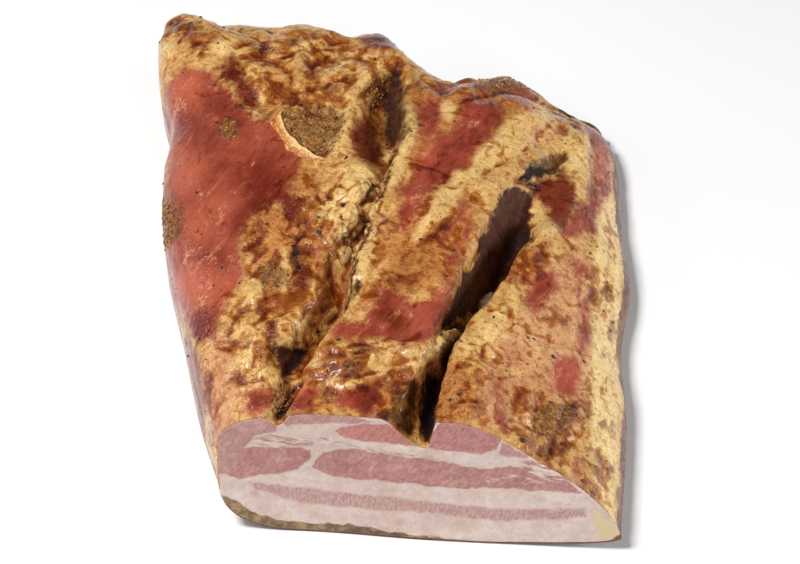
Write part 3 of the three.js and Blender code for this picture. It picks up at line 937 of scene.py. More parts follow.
grain = (
    0.45 * solid_noise(base, 7, 6)
    + 0.18 * solid_noise(base, 3.2, 7)
    + 0.9 * np.abs(solid_noise(along_creases(base), 6, 8))
    - 0.4
)
top_share = smooth_step(base[..., 2], 6, 30)
drawn = crust_fields(base, facing, np.zeros(facing.shape))
lean_there = smooth_step(np.maximum(drawn["lean"], drawn["dark_lean"]), -2, 2)
lumpy = mix(0.12, 1, smooth_step(drawn["smoky"], -4, 3))
lumpy *= mix(1, 0.2, smooth_step(drawn["flank_fat"], -4, 1))
curds = lumpy * (2.2 * domes(base * (1, 0.7, 1), 18, 7) + 0.6 * domes(base * (1, 0.75, 1), 8, 9))
relief = mix(1.0, 0.4, lean_there) * mix(0.5, 1.0, lumpy) * grain + (1 - lean_there) * curds
relief += top_share * (rolls(plan_x, plan_y) - cracks(plan_x, plan_y) + knobs(base))
relief -= LEAN_LIES_LOWER * lean_there
for kind, (rise, low, high) in RAISED.items():
    relief += rise * smooth_step(drawn[kind], low, high)
relief *= smooth_step(along, 0, CALM_NEAR_CUT)
skin = base + normals * relief[..., None]
skin[0] = base[0]
skin[:, 0], skin[:, -1], skin[-1] = base[:, 0], base[:, -1], base[-1]


def hollowness(points, reach):
    """How far a point lies below the mean of four points reach steps away, along its normal."""
    around = np.zeros_like(points)
    rows, columns = points.shape[:2]
    i, j = np.arange(rows)[:, None], np.arange(columns)
    for di, dj in ((reach, 0), (-reach, 0), (0, reach), (0, -reach)):
        around += points[np.clip(i + di, 0, rows - 1), np.clip(j + dj, 0, columns - 1)] / 4
    return np.sum((around - points) * surface_normals(points), axis=-1)


skin_hollow = hollowness(skin, 2) + 0.6 * hollowness(skin, 4)
skin_hollow[:5] = skin_hollow[-5:] = 0
skin_hollow[:, :5] = skin_hollow[:, -5:] = 0
print("hollows up to", round(float(skin_hollow.max()), 1), "mm")
print("relief from", round(float(relief.min()), 1), "to", round(float(relief.max()), 1), "mm")


# %% Putting sheets together
def sheet_quads(index):
    """The quads of a grid of vertex numbers, seen from the side its normals point to."""
    quads = np.stack([index[:-1, :-1], index[:-1, 1:], index[1:, 1:], index[1:, :-1]], axis=-1)
    return quads.reshape(-1, 4)


def fan_triangles(dense, sparse):
    """Triangles from a dense edge to a sparse one: each dense step goes to its cell's nearer corner,
    and one triangle per cell closes the gap in the middle."""
    step = (len(dense) - 1) // (len(sparse) - 1)
    i = np.arange(len(dense) - 1)
    corner = sparse[i // step + (i % step >= step // 2)]
    steps = np.stack([dense[:-1], dense[1:], corner], axis=-1)
    middle = dense[step // 2 :: step]
    gaps = np.stack([middle, sparse[1:], sparse[:-1]], axis=-1)
    return np.concatenate([steps, gaps])


def drop_slivers(faces):
    """Leaves out faces that name one vertex twice, except quads, which become triangles."""
    kept = []
    for face in faces:
        for row in face.tolist():
            unique = list(dict.fromkeys(row))
            if len(unique) > 2:
                kept.append(unique)
    return kept


FAR_FROM_LOOP = -9  # place of a vertex that isn't on the sharp loop


def build_mesh(name, points, faces, fields=None, sharp=None):
    """A smooth mesh in metres from points in millimetres, with its fields as point attributes.
    The edges between neighbouring vertices of the sharp loop keep a hard edge."""
    mesh = bpy.data.meshes.new(name)
    mesh.from_pydata(((points + SHIFT) / 1000).tolist(), [], faces)
    mesh.shade_smooth()
    for field, values in (fields or {}).items():
        attribute = mesh.attributes.new(field, "FLOAT", "POINT")
        attribute.data.foreach_set("value", values.astype(np.float32))
    if sharp is not None:
        ends = np.zeros(2 * len(mesh.edges), int)
        mesh.edges.foreach_get("vertices", ends)
        place = np.full(len(points), FAR_FROM_LOOP)
        place[sharp] = np.arange(len(sharp))
        first, second = place[ends.reshape(-1, 2)].T
        apart = np.abs(first - second)
        hard = (first >= 0) & (second >= 0) & ((apart == 1) | (apart == len(sharp) - 1))
        mesh.attributes.new("sharp_edge", "BOOLEAN", "EDGE").data.foreach_set("value", hard)
    piece = bpy.data.objects.new(name, mesh)
    bpy.context.scene.collection.objects.link(piece)
    print(name, len(points), "vertices", len(faces), "faces")
    return piece


def closed_tube(name, surface, fields=None):
    """A mesh from a grid whose columns run round it: the last column becomes the first, and each
    end row one vertex."""
    index = np.arange(surface[..., 0].size).reshape(surface.shape[:2])
    index[:, -1] = index[:, 0]
    index[0], index[-1] = index[0, 0], index[-1, 0]
    return build_mesh(name, surface.reshape(-1, 3), drop_slivers([sheet_quads(index)]), fields)


# %% Build the crust
UNDER_STEP = 10
top_index = np.arange(skin[..., 0].size).reshape(skin.shape[:2])
under_columns = np.arange(0, COLUMNS + 1, UNDER_STEP)
under = rind_surface(across[:, under_columns], along[:, under_columns])
under_index = top_index.size + np.arange(under[..., 0].size).reshape(under.shape[:2])
under_index[:, 0], under_index[:, -1] = top_index[:, 0], top_index[:, -1]
under_index[-1] = top_index[-1, under_columns]
front_under = rind_surface(across[0], along[0])
front_index = top_index.size + under_index.size + np.arange(COLUMNS + 1)
front_index[0], front_index[-1] = top_index[0, 0], top_index[0, -1]

crust_faces = drop_slivers(
    [
        sheet_quads(top_index),
        sheet_quads(under_index[1:-1][:, ::-1]),
        fan_triangles(front_index, under_index[1])[:, ::-1],
        fan_triangles(top_index[-1], under_index[-2]),
        sheet_quads(np.stack([front_index, top_index[0]])),
    ]
)
crust_points = np.concatenate([skin.reshape(-1, 3), under.reshape(-1, 3), front_under])
crust_facing = np.full(len(crust_points), -1.0)
crust_facing[: top_index.size] = facing.ravel()
crust_hollow = np.zeros(len(crust_points))
crust_hollow[: top_index.size] = skin_hollow.ravel()
used = np.unique(np.concatenate([np.array(face) for face in crust_faces]))
renumber = np.full(len(crust_points), -1)
renumber[used] = np.arange(len(used))
crust_faces = [[int(renumber[v]) for v in face] for face in crust_faces]
crust_points, crust_facing, crust_hollow = crust_points[used], crust_facing[used], crust_hollow[used]
cut_loop = renumber[np.concatenate([top_index[0], front_index[-2:0:-1]])]
crust_patches = crust_fields(crust_points, crust_facing, crust_hollow)
crust_piece = build_mesh("brisket_crust", crust_points, crust_faces, crust_patches, cut_loop)


# %% [markdown]
# ## Making finishes from nodes
#
# A finish is a small network: fields and noises go in, and colour, roughness and fine bumps come
# out. The class below only saves typing. A value that is a socket is linked, and any other value
# is set on the socket. Colours are written as they look on screen and turned into the linear
# values that the renderer needs.

# %% Node tools
def tone(red, green, blue):
    """Screen colour 0-255 to linear: c / 12.92 when dark, else ((c + 0.055) / 1.055)^2.4."""
    screen = np.array([red, green, blue]) / 255
    linear = np.where(screen <= 0.04045, screen / 12.92, ((screen + 0.055) / 1.055) ** 2.4)
    return (*linear.tolist(), 1.0)


class Finish:
    """A material whose nodes read Object coordinates and the fields of its piece."""

    def __init__(self, name, roughness=0.5, **shader_values):
        self.material = bpy.data.materials.new(name)
        self.material.use_nodes = True
        self.tree = self.material.node_tree
        self.shader = self.tree.nodes["Principled BSDF"]
        self.shader.inputs["Roughness"].default_value = roughness
        for socket, value in shader_values.items():
            self.shader.inputs[socket.replace("_", " ")].default_value = value
        self.place = self.add("ShaderNodeTexCoord").outputs["Object"]

    def add(self, kind, inputs=None, **settings):
        """A node of that kind, with its settings, and its inputs linked or set."""
        node = self.tree.nodes.new(kind)
        for key, value in settings.items():
            setattr(node, key, value)
        for key, value in (inputs or {}).items():
            if isinstance(value, bpy.types.NodeSocket):
                self.tree.links.new(value, node.inputs[key])
            else:
                node.inputs[key].default_value = value
        return node

    def calc(self, operation, *values):
        """The result of a Math node on one or two values."""
        return self.add("ShaderNodeMath", dict(enumerate(values)), operation=operation).outputs[0]

    def total(self, *terms):
        """Sum of weight * value over (weight, value) pairs."""
        result = None
        for weight, value in terms:
            term = value if weight == 1 else self.calc("MULTIPLY", value, weight)
            result = term if result is None else self.calc("ADD", result, term)
        return result

    def fade(self, value, low, high, top=1.0):
        """0 at low and top at high, eased."""
        inputs = {"Value": value, "From Min": low, "From Max": high, "To Max": top}
        return self.add("ShaderNodeMapRange", inputs, interpolation_type="SMOOTHSTEP").outputs[0]

    def blend(self, share, first, second, how="MIX"):
        """The first colour where share is 0 and the second, laid over it, where share is 1."""
        inputs = {0: share, 6: first, 7: second}
        return self.add("ShaderNodeMix", inputs, data_type="RGBA", blend_type=how).outputs[2]

    def ramp(self, value, stops):
        """Colour for a value from (position, colour) stops."""
        node = self.add("ShaderNodeValToRGB", {"Fac": value})
        elements = node.color_ramp.elements
        while len(elements) < len(stops):
            elements.new(0.5)
        for element, (position, colour) in zip(elements, stops):
            element.position = position
            element.color = colour
        return node.outputs["Color"]

    def field(self, name):
        """The value of one of the mesh's point attributes."""
        return self.add("ShaderNodeAttribute", attribute_name=name).outputs["Fac"]

    def stretched_place(self, turn, stretch):
        """Object coordinates whose axes are turned by some degrees and then stretched, so that a
        noise comes out as fibres."""
        inputs = {"Vector": self.place, "Rotation": np.radians(turn), "Scale": stretch}
        return self.add("ShaderNodeMapping", inputs, vector_type="TEXTURE").outputs["Vector"]

    def noise(self, size, detail=2.0, rough=0.55, distort=0.0, place=None):
        """Noise of about 0.2 to 0.8 whose largest features are about size millimetres."""
        inputs = {
            "Vector": place or self.place, "Scale": 1000 / size, "Detail": detail,
            "Roughness": rough, "Distortion": distort,
        }  # fmt: skip
        return self.add("ShaderNodeTexNoise", inputs).outputs["Fac"]

    def cell(self, size):
        """Distance to the nearest of points scattered about size millimetres apart, over size."""
        inputs = {"Vector": self.place, "Scale": 1000 / size}
        return self.add("ShaderNodeTexVoronoi", inputs).outputs["Distance"]

    def link(self, value, socket):
        """Links a value that varies over the surface to a socket of the shader."""
        self.tree.links.new(value, self.shader.inputs[socket])

    def finish(self, colour, roughness=None, height=None):
        """Links the results. height is in millimetres."""
        self.link(colour, "Base Color")
        if roughness is not None:
            self.link(roughness, "Roughness")
        if height is not None:
            bump = self.add("ShaderNodeBump", {"Height": height, "Distance": 0.001, "Strength": 1.0})
            self.link(bump.outputs["Normal"], "Normal")
        return self.material


# %% [markdown]
# ## The crust's finish
#
# Smoked fat runs from cream through tan to orange-brown, in soft stains of every size, with
# small brown specks and fine wrinkles. Smoked lean is brick red to dark red, smoother, with
# fibres. All of it is greasy, so it shines in many small glints. One material holds both,
# because in reality the film and the stains run across the border between them. It lays the
# kinds of patch over each other in the order of the list below.

# %% Crust finish: noises and edges
COAT = 0.24
crust = Finish("smoked_crust", Specular_IOR_Level=0.3, Coat_Weight=COAT, Coat_Roughness=0.1)
with_creases = crust.stretched_place((0, 0, -20), (1, 2.2, 1))
broad = crust.noise(30, detail=3, place=with_creases)
middle = crust.noise(9, detail=4, rough=0.6, distort=0.5, place=with_creases)
small = crust.noise(3.2, detail=3, rough=0.6)
fine = crust.noise(1.1, detail=2)
fibres = crust.noise(2.2, detail=3, rough=0.6, place=crust.stretched_place((0, 0, -30), (1, 4.5, 1)))


def off_middle(value, reach):
    """A noise turned into plus or minus millimetres."""
    return crust.calc("MULTIPLY", crust.calc("SUBTRACT", value, 0.5), reach)


ragged = crust.total(
    (1, off_middle(middle, 7)), (1, off_middle(small, 5)), (1, off_middle(fibres, 2)),
    (1, off_middle(fine, 1.2)),
)  # fmt: skip


def patch(name, low, high, most=1.0):
    """Share of a patch field, its edge roughened by the noises."""
    return crust.fade(crust.calc("ADD", crust.field(name), ragged), low, high, most)


# %% Crust finish: fat, then the patches
paleness = crust.total((0.35, broad), (0.35, middle), (0.3, small))
colour = crust.ramp(
    paleness,
    [
        (0.36, tone(232, 194, 128)), (0.46, tone(216, 170, 102)), (0.54, tone(196, 144, 78)),
        (0.64, tone(168, 112, 52)),
    ],
)  # fmt: skip
variation = crust.total((0.45, middle), (0.4, small), (0.15, fine))
streaky = crust.total((0.45, broad), (0.3, middle), (0.25, fibres))

# Each: kind, half width of the soft edge in mm, how opaque, light tone, dark tone.
LAYERS = [
    ("amber", 2.5, 0.85, tone(206, 136, 72), tone(152, 86, 36)),
    ("cream", 1.6, 0.85, tone(242, 208, 140), tone(218, 174, 102)),
    ("flank_fat", 2.0, 0.9, tone(252, 224, 158), tone(234, 198, 128)),
    # pink fat, with painted sheen on its glossy spots
    ("pink_fat_and_sheen", 3.0, 0.6, tone(224, 170, 126), tone(188, 116, 82)),
    ("lean", 2.8, 0.94, tone(178, 78, 59), tone(116, 35, 24)),
    ("dark_lean", 2.5, 0.98, tone(140, 56, 28), tone(98, 34, 17)),
    ("brown", 1.0, 0.7, tone(156, 88, 38), tone(112, 58, 24)),
    ("olive", 1.4, 0.96, tone(128, 88, 42), tone(64, 42, 20)),
    ("grey_fat", 0.8, 0.8, tone(180, 142, 112), tone(140, 106, 80)),
]
for kind, soft, opaque, light_tone, dark_tone in LAYERS:
    own = crust.ramp(streaky if "lean" in kind else variation, [(0.4, light_tone), (0.6, dark_tone)])
    colour = crust.blend(patch(kind, -soft, soft, opaque), colour, own)
lean_share = patch("lean", -2.5, 2.5)
# Paler, pinker lean, which also paints the lean's sheen.
flush_and_sheen_share = crust.calc("MULTIPLY", patch("flush_and_sheen", -6, 6, 0.7), lean_share)
colour = crust.blend(flush_and_sheen_share, colour, tone(190, 98, 72))
dark_red_share = crust.calc("MULTIPLY", patch("deep", -6, 6, 0.65), lean_share)
colour = crust.blend(dark_red_share, colour, tone(112, 28, 18))
off_thread = crust.calc("ABSOLUTE", crust.calc("SUBTRACT", fibres, 0.5))
thread_share = crust.fade(crust.total((1, off_thread), (0.5, middle)), 0.235, 0.19, 0.4)
pink_and_sheen_share = patch("pink_fat_and_sheen", -2.5, 2.5)
threaded = crust.calc("MAXIMUM", lean_share, pink_and_sheen_share)
colour = crust.blend(crust.calc("MULTIPLY", thread_share, threaded), colour, tone(232, 178, 130))

# %% Crust finish: smoke, spice, juice with painted shade, and rind
SMOKE = tone(204, 157, 98)  # what one layer of smoke leaves of the light
smoky = crust.fade(crust.field("smoky"), -4, 4)
blots = crust.noise(10, detail=5, rough=0.58, distort=0.8)
# Smoke blots gather more in the mesh's hollows, which paints shade there as well as stain.
valley_shade = crust.fade(crust.field("hollow"), -0.35, 0.45)
blot_level = crust.total((1, blots), (0.1, smoky), (-0.05, lean_share), (0.1, valley_shade))
blot_share = crust.fade(blot_level, 0.58, 0.65, 0.85)
inner_share = crust.fade(blot_level, 0.67, 0.73, 0.75)
dabs = crust.noise(3, detail=4, rough=0.65, distort=0.4)
dab_share = crust.fade(crust.total((1, dabs), (0.03, smoky), (-0.06, lean_share)), 0.56, 0.6, 0.6)
speck_share = crust.fade(crust.total((1, crust.cell(4.5)), (0.6, small)), 0.44, 0.37, 0.8)
off_line = crust.calc("ABSOLUTE", crust.calc("SUBTRACT", crust.noise(7, detail=3, distort=0.8), 0.5))
on_fat = crust.calc("SUBTRACT", 1.0, lean_share)
wrinkle_share = crust.calc("MULTIPLY", crust.fade(off_line, 0.022, 0.004, 0.35), on_fat)
for share in (blot_share, inner_share, dab_share, speck_share, wrinkle_share):
    colour = crust.blend(share, colour, SMOKE, "MULTIPLY")

gritty = crust.total((0.4, crust.noise(1.5, detail=3, rough=0.7)), (0.3, small), (0.3, fibres))
spice_colour = crust.ramp(
    gritty,
    [
        (0.38, tone(204, 148, 76)), (0.45, tone(164, 108, 48)), (0.52, tone(122, 76, 32)),
        (0.6, tone(64, 38, 16)),
    ],
)  # fmt: skip
spice_share = patch("spice", -1.5, 2.0, 0.75)
colour = crust.blend(spice_share, colour, spice_colour)
# Painted shade: the colour is darker where the mesh lies in a hollow or a crack.
deep_enough = crust.total((1, crust.field("hollow")), (1, off_middle(middle, 2)), (1, off_middle(small, 1)))
crack_shade_share = crust.fade(deep_enough, 0.3, 1.1, 0.8)
colour = crust.blend(crack_shade_share, colour, tone(184, 120, 68), "MULTIPLY")
# Darkens the slit, the hollows, the notch and the cracks: the juice's dark colour together with painted
# shade.
juice_and_shade_share = patch("dark", -0.9, 1.2)
colour = crust.blend(juice_and_shade_share, colour, tone(100, 70, 62), "MULTIPLY")
shade_share = patch("shade", -2.5, 2.5)
colour = crust.blend(shade_share, colour, tone(106, 82, 66), "MULTIPLY")
rind_share = patch("rind", -1, 1)
rind_colour = crust.ramp(
    crust.total((0.6, middle), (0.4, small)),
    [(0.35, tone(140, 88, 52)), (0.5, tone(112, 66, 38)), (0.65, tone(76, 40, 24))],
)
colour = crust.blend(rind_share, colour, rind_colour)

# %% Crust finish: shine and grain
gloss = crust.total((0.5, middle), (0.5, small))
wet_to_dry = crust.add(
    "ShaderNodeMapRange", {"Value": gloss, "From Min": 0.35, "From Max": 0.62, "To Min": 0.14, "To Max": 0.4}
).outputs[0]
# Deep in the creases hardly any light arrives, so a shine there would only turn them grey.
deep_share = crust.calc("MAXIMUM", juice_and_shade_share, shade_share)
crust_roughness = crust.total((1, wet_to_dry), (0.4, deep_share))
spice_height = crust.calc("MULTIPLY", spice_share, gritty)
fat_height = crust.calc("MULTIPLY", crust.total((0.8, small), (0.5, fine)), on_fat)
lean_height = crust.calc("MULTIPLY", crust.total((1.5, fibres), (0.2, fine)), lean_share)
height = crust.total((1, fat_height), (1, lean_height), (3, spice_height), (-0.3, wrinkle_share))
smoked_crust = crust.finish(colour, crust_roughness, height)
in_the_open = crust.total((-0.8, deep_share), (1, 1.0))
crust.link(crust.calc("MULTIPLY", in_the_open, COAT), "Coat Weight")
crust_piece.data.materials.append(smoked_crust)

# %% [markdown]
# ## The cut face
#
# The knife went straight across, so this face is flat, but its layers tell the most about the
# meat: rind, a thick cap of back fat, a thin pale stripe, more fat, the main band of lean, and
# the muscles under the crust. It is a piece of its own, a thin lens that stands a third of a
# millimetre proud, so its colours get their own resolution and the browned crust stays as a
# line around it. Its layers are read from the photograph like the crust's patches, except the
# rind, whose upper edge is a curve over x.

# %% Layers of the cut
CUT_LAYERS = {
    "stripe": [
        area(
            (250, 481), (283, 486), (310, 489), (350, 494), (400, 497), (433, 502), (473, 506), (500, 509),
            (533, 509), (584, 509), (588, 517), (533, 519), (500, 520), (467, 517), (433, 513), (387, 510),
            (343, 507), (310, 502), (280, 496), (258, 489),
        )
    ],
    "main_lean": [
        area(  # left of the fat seam
            (233, 451), (250, 447), (277, 447), (300, 447), (311, 450), (310, 457), (302, 463), (297, 469),
            (280, 472), (258, 474), (240, 478), (226, 474), (226, 460),
        ),
        area(  # right of it
            (317, 458), (323, 452), (340, 449), (360, 450), (380, 452), (400, 456), (427, 459), (450, 463),
            (467, 466), (487, 467), (510, 466), (527, 469), (547, 477), (570, 482), (582, 493), (550, 491),
            (520, 488), (500, 487), (467, 488), (433, 487), (407, 482), (383, 481), (360, 480), (340, 477),
            (323, 472), (312, 466),
        ),
    ],
    "upper_lean": [
        area(
            (206, 450), (212, 433), (226, 422), (253, 417), (277, 419), (276, 431), (257, 434), (250, 441),
            (243, 448), (240, 458), (230, 472), (212, 474),
        ),
        area(
            (278, 419), (297, 412), (323, 411), (343, 412), (360, 417), (373, 421), (357, 423), (333, 423),
            (310, 423), (287, 424),
        ),
        area((502, 442), (517, 450), (530, 457), (520, 458), (500, 455)),
    ],
    "gristle": [
        area((252, 438), (267, 433), (287, 435), (307, 438), (315, 445), (300, 446), (277, 447), (260, 445)),
        blob(330, 441, 12, 3, 10), stroke(0.8, (347, 445), (373, 450), (400, 454), (433, 457), (453, 463)),
    ],
    "flecked": [
        area((528, 460), (547, 463), (563, 473), (571, 482), (553, 481), (537, 477), (523, 470), (520, 463)),
        stroke(1, (487, 480), (505, 476), (520, 475), (540, 482)),
    ],
    "round": [
        area(
            (427, 446), (429, 436), (436, 424), (448, 418), (463, 416), (478, 419), (492, 428), (502, 439),
            (497, 449), (482, 453), (462, 452), (442, 449),
        )
    ],
    "lens": [
        area(
            (334, 431), (343, 426), (363, 423), (387, 424), (403, 429), (413, 438), (422, 446), (407, 445),
            (387, 443), (367, 442), (347, 438),
        )
    ],
    "yellow_fat": [area((592, 506), (604, 514), (622, 534), (617, 541), (604, 539), (595, 526))],
    "blood_tint": [blob(398, 522, 5, 3), blob(255, 493, 4, 3), blob(433, 536, 4, 2), blob(300, 500, 3, 2)],
}
# The rind's upper edge on the cut: [x, height].
RIND_HIGH = np.array(
    [
        [-88, 19], [-80, 16.5], [-76, 12.5], [-66, 7.5], [-60, 6], [-30, 5.5], [-8, 3], [20, 1.4], [70, 1.6],
        [80, 3.5], [90, 10],
    ]
)  # fmt: skip

# %% Build the cut face
CUT_COLUMNS = 360
CUT_ROWS = 130
PROUD = 0.35
SUNK = 0.35  # how deep its edge lies in the crust

cut_across = column_positions(np.array([0.0]), CUT_COLUMNS + 1)
cut_top = crust_surface(cut_across, np.zeros_like(cut_across))
cut_bottom = rind_surface(cut_across, np.zeros_like(cut_across))
level = np.linspace(0, 1, CUT_ROWS + 1)[:, None, None]
cut = mix(cut_bottom, cut_top, level)
cut_height = (cut_top - cut_bottom)[..., 2]
to_edge = np.minimum(level[..., 0], 1 - level[..., 0]) * cut_height
to_edge = np.minimum(to_edge, 0.8 * (cut[..., 0] - cut[..., 0].min()) + 0.2)
to_edge = np.minimum(to_edge, 0.8 * (cut[..., 0].max() - cut[..., 0]) + 0.2)
cut_normal = np.cross(cut_top[0, -1] - cut_top[0, 0], (0, CUT_LEAN, 1))
cut_normal /= np.linalg.norm(cut_normal)

cut_column, cut_row = picture_place(cut)
cut_column = cut_column + 2.0 * solid_noise(cut, 8, 23) + 1.2 * solid_noise(cut, 3, 26)
cut_row = cut_row + 1.4 * solid_noise(cut, 9, 24) + 1.0 * solid_noise(cut, 2.5, 25)
cut_fields = {
    name: MM_PER_PIXEL * picture_field(cut_column, cut_row, shapes) for name, shapes in CUT_LAYERS.items()
}
cut_fields["cut_rind"] = curve(RIND_HIGH, cut[..., 0]) - cut[..., 2] + 0.8 * solid_noise(cut, 3, 27)
cut_fields["to_edge"] = to_edge

rise = mix(-SUNK, PROUD, smooth_step(to_edge, 0, 1.6))
rise += smooth_step(to_edge, 1, 4) * (0.12 * solid_noise(cut, 7, 21) + 0.06 * solid_noise(cut, 2, 22))
for name in ("main_lean", "lens", "round", "gristle"):
    rise -= 0.15 * smooth_step(cut_fields[name], -0.4, 0.6) * smooth_step(to_edge, 1, 3)
cut_points = cut + cut_normal * rise[..., None]
cut_index = np.arange(cut_points[..., 0].size).reshape(cut_points.shape[:2])
cut_index[:, 0], cut_index[:, -1] = cut_index[0, 0], cut_index[0, -1]
cut_faces = drop_slivers([sheet_quads(cut_index), sheet_quads(np.stack([cut_index[-1], cut_index[0]]))])
cut_piece = build_mesh(
    "cut_face", cut_points.reshape(-1, 3), cut_faces, {k: v.ravel() for k, v in cut_fields.items()}
)

# %% [markdown]
# ## The cut's finish
#
# Cured fat is a warm white with a faint pink, and cured lean is pink, paler where it is thin.
# Both have a fine broken grain from the knife. Light goes a little way into them, so the shader
# scatters some of it below the surface, which softens the small shadows.

# %% Cut finish
face = Finish(
    "cut_meat", roughness=0.36, Subsurface_Weight=0.2, Subsurface_Scale=0.0012,
    Subsurface_Radius=(1.0, 0.45, 0.3), Coat_Weight=0.2, Coat_Roughness=0.15,
)  # fmt: skip
cloud = face.noise(12, detail=3)
marble = face.noise(3.0, detail=3, rough=0.6, distort=0.5)
crumb = face.noise(0.9, detail=2)
grain_lines = face.noise(0.8, detail=2, place=face.stretched_place((0, 40, 0), (1, 1, 3.5)))
level_lines = face.noise(1.2, detail=3, place=face.stretched_place((0, 100, 0), (1, 1, 5)))
wiggle = face.total((2.4, face.calc("SUBTRACT", marble, 0.5)), (1.4, face.calc("SUBTRACT", crumb, 0.5)))

fat = face.ramp(
    face.total((0.45, cloud), (0.3, marble), (0.25, crumb)),
    [(0.36, tone(212, 182, 170)), (0.5, tone(226, 201, 190)), (0.64, tone(240, 223, 214))],
)
meat = face.ramp(
    face.total((0.3, cloud), (0.25, marble), (0.1, crumb), (0.35, grain_lines)),
    [(0.36, tone(160, 95, 90)), (0.5, tone(188, 126, 118)), (0.64, tone(214, 163, 154))],
)


def layer(below, name, colour, soft=0.4, most=1.0):
    """Lays one layer's colour over what is below it, with an edge roughened by the marbling."""
    edge = face.calc("ADD", face.field(name), wiggle)
    return face.blend(face.fade(edge, -soft, soft, most), below, colour)


upright_lines = face.noise(0.8, detail=2, place=face.stretched_place((0, 12, 0), (1, 1, 3)))
stripe_colour = face.ramp(upright_lines, [(0.36, tone(180, 128, 118)), (0.62, tone(210, 168, 158))])
cut_colour = layer(fat, "stripe", stripe_colour, 0.8, 0.9)
cut_colour = layer(cut_colour, "main_lean", meat)
pale_meat = face.blend(0.15, meat, fat)
cut_colour = layer(cut_colour, "upper_lean", pale_meat)
gristle_colour = face.ramp(
    level_lines, [(0.38, tone(182, 134, 120)), (0.5, tone(214, 180, 166)), (0.6, tone(234, 214, 204))]
)
cut_colour = layer(cut_colour, "gristle", gristle_colour, 0.8)
flecks = face.ramp(level_lines, [(0.44, tone(186, 126, 116)), (0.56, tone(236, 212, 202))])
cut_colour = layer(cut_colour, "flecked", flecks, 0.8)
solid_meat = face.total((0.4, marble), (0.6, grain_lines))
for muscle, dark_tone, light_tone in (
    ("round", tone(168, 99, 94), tone(212, 148, 140)),
    ("lens", tone(174, 98, 90), tone(218, 144, 132)),
):
    cut_colour = layer(cut_colour, muscle, face.ramp(solid_meat, [(0.34, dark_tone), (0.64, light_tone)]))
cut_colour = layer(cut_colour, "yellow_fat", tone(230, 208, 150), 2.5, 0.8)
cut_colour = layer(cut_colour, "blood_tint", tone(206, 140, 124), 1.2, 0.6)
rind_tones = face.ramp(
    face.total((0.5, cloud), (0.5, marble)),
    [(0.4, tone(92, 60, 30)), (0.5, tone(132, 98, 58)), (0.6, tone(176, 144, 92))],
)
cut_colour = layer(cut_colour, "cut_rind", rind_tones, 0.35)
browned = face.fade(face.calc("ADD", face.field("to_edge"), wiggle), 1.2, 0.2, 0.8)
cut_colour = face.blend(browned, cut_colour, tone(186, 124, 92))
cut_meat = face.finish(cut_colour, None, face.total((0.35, marble), (0.35, crumb), (0.2, grain_lines)))
cut_piece.data.materials.append(cut_meat)

# %% [markdown]
# ## The loose flap
#
# Beside the spice hollow at the back, a thin edge of skin has come loose and stands up. It could
# be pulled out of the crust's grid, but a grid of single heights can't fold over itself. So it is
# a piece of its own: a flat closed profile, carried along the hollow's edge and lifted at its
# free side, which tapers into the crust at both ends.

# %% Loose flap
# Where the flap is rooted, in the picture.
FLAP_EDGE = np.array(
    [[283, 110], [280, 117], [282, 127], [287, 137], [295, 146], [305, 153], [314, 158], [324, 160]]
)
FLAP_WIDTH = 8.5
FLAP_THICKNESS = 1.9
FLAP_LIFT = 3.4
FLAP_UPWARDS = (-0.25, -0.35, 0.9)  # the way its free side is lifted
FLAP_ROOT_SHARE = 0.8  # share of the width that lies inside the hollow's edge
HIDDEN_IS_FAR = 99  # pixels added to the distance of what the picture doesn't show


def nearest_seen(column, row):
    """The skin's grid point that shows nearest to a place in the picture."""
    off = np.hypot(skin_column - column, skin_row - row) + HIDDEN_IS_FAR * (facing < 0.1)
    return np.unravel_index(np.argmin(off), off.shape)


def flap_reach(t):
    """0 at the root of the profile and 1 at its free side: half of 1 - cos(2 pi t)."""
    return 0.5 - 0.5 * np.cos(2 * np.pi * t)


def flap_surface(s, t):
    """Round the profile as t goes from 0 to 1, along the edge as s does: reach across, half the
    thickness * sin(2 pi t) up, and bent up by lift * reach^2. It narrows at the ends of the edge
    by sin(pi s)^0.4."""
    knots = np.linspace(0, 1, len(FLAP_EDGE))
    spots = np.array([skin[nearest_seen(*pixel)] for pixel in FLAP_EDGE])
    path = np.stack([curve(np.column_stack([knots, spots[:, k]]), s) for k in range(3)], axis=-1)
    tangent = np.gradient(path, axis=0)
    tangent /= np.linalg.norm(tangent, axis=-1, keepdims=True)
    upwards = np.array(FLAP_UPWARDS) / np.linalg.norm(FLAP_UPWARDS)
    outwards = np.cross(upwards, tangent)
    swell = np.sin(np.pi * np.clip(s, 0.004, 0.996)) ** 0.4 * (1 + 0.4 * flat_noise(11 * s, 0 * s + 3.3))
    reach = flap_reach(t)
    across_flap = (reach - FLAP_ROOT_SHARE) * FLAP_WIDTH * swell
    lift = FLAP_LIFT * reach**2 * swell + 0.5 * FLAP_THICKNESS * np.sin(2 * np.pi * t) * swell
    return path + across_flap[..., None] * outwards + lift[..., None] * upwards


skin_column, skin_row = picture_place(skin)
flap_s, flap_t = np.meshgrid(np.linspace(0, 1, 61), np.linspace(0, 1, 29), indexing="ij")
flap = closed_tube("loose_flap", flap_surface(flap_s, flap_t), {"reach": flap_reach(flap_t).ravel()})

# %% Loose fat in the slit
FAT_PIXEL = (484, 302)
FAT_HALF_SIZE = (2.6, 6.5, 2.0)
FAT_TURN = np.radians(-28)


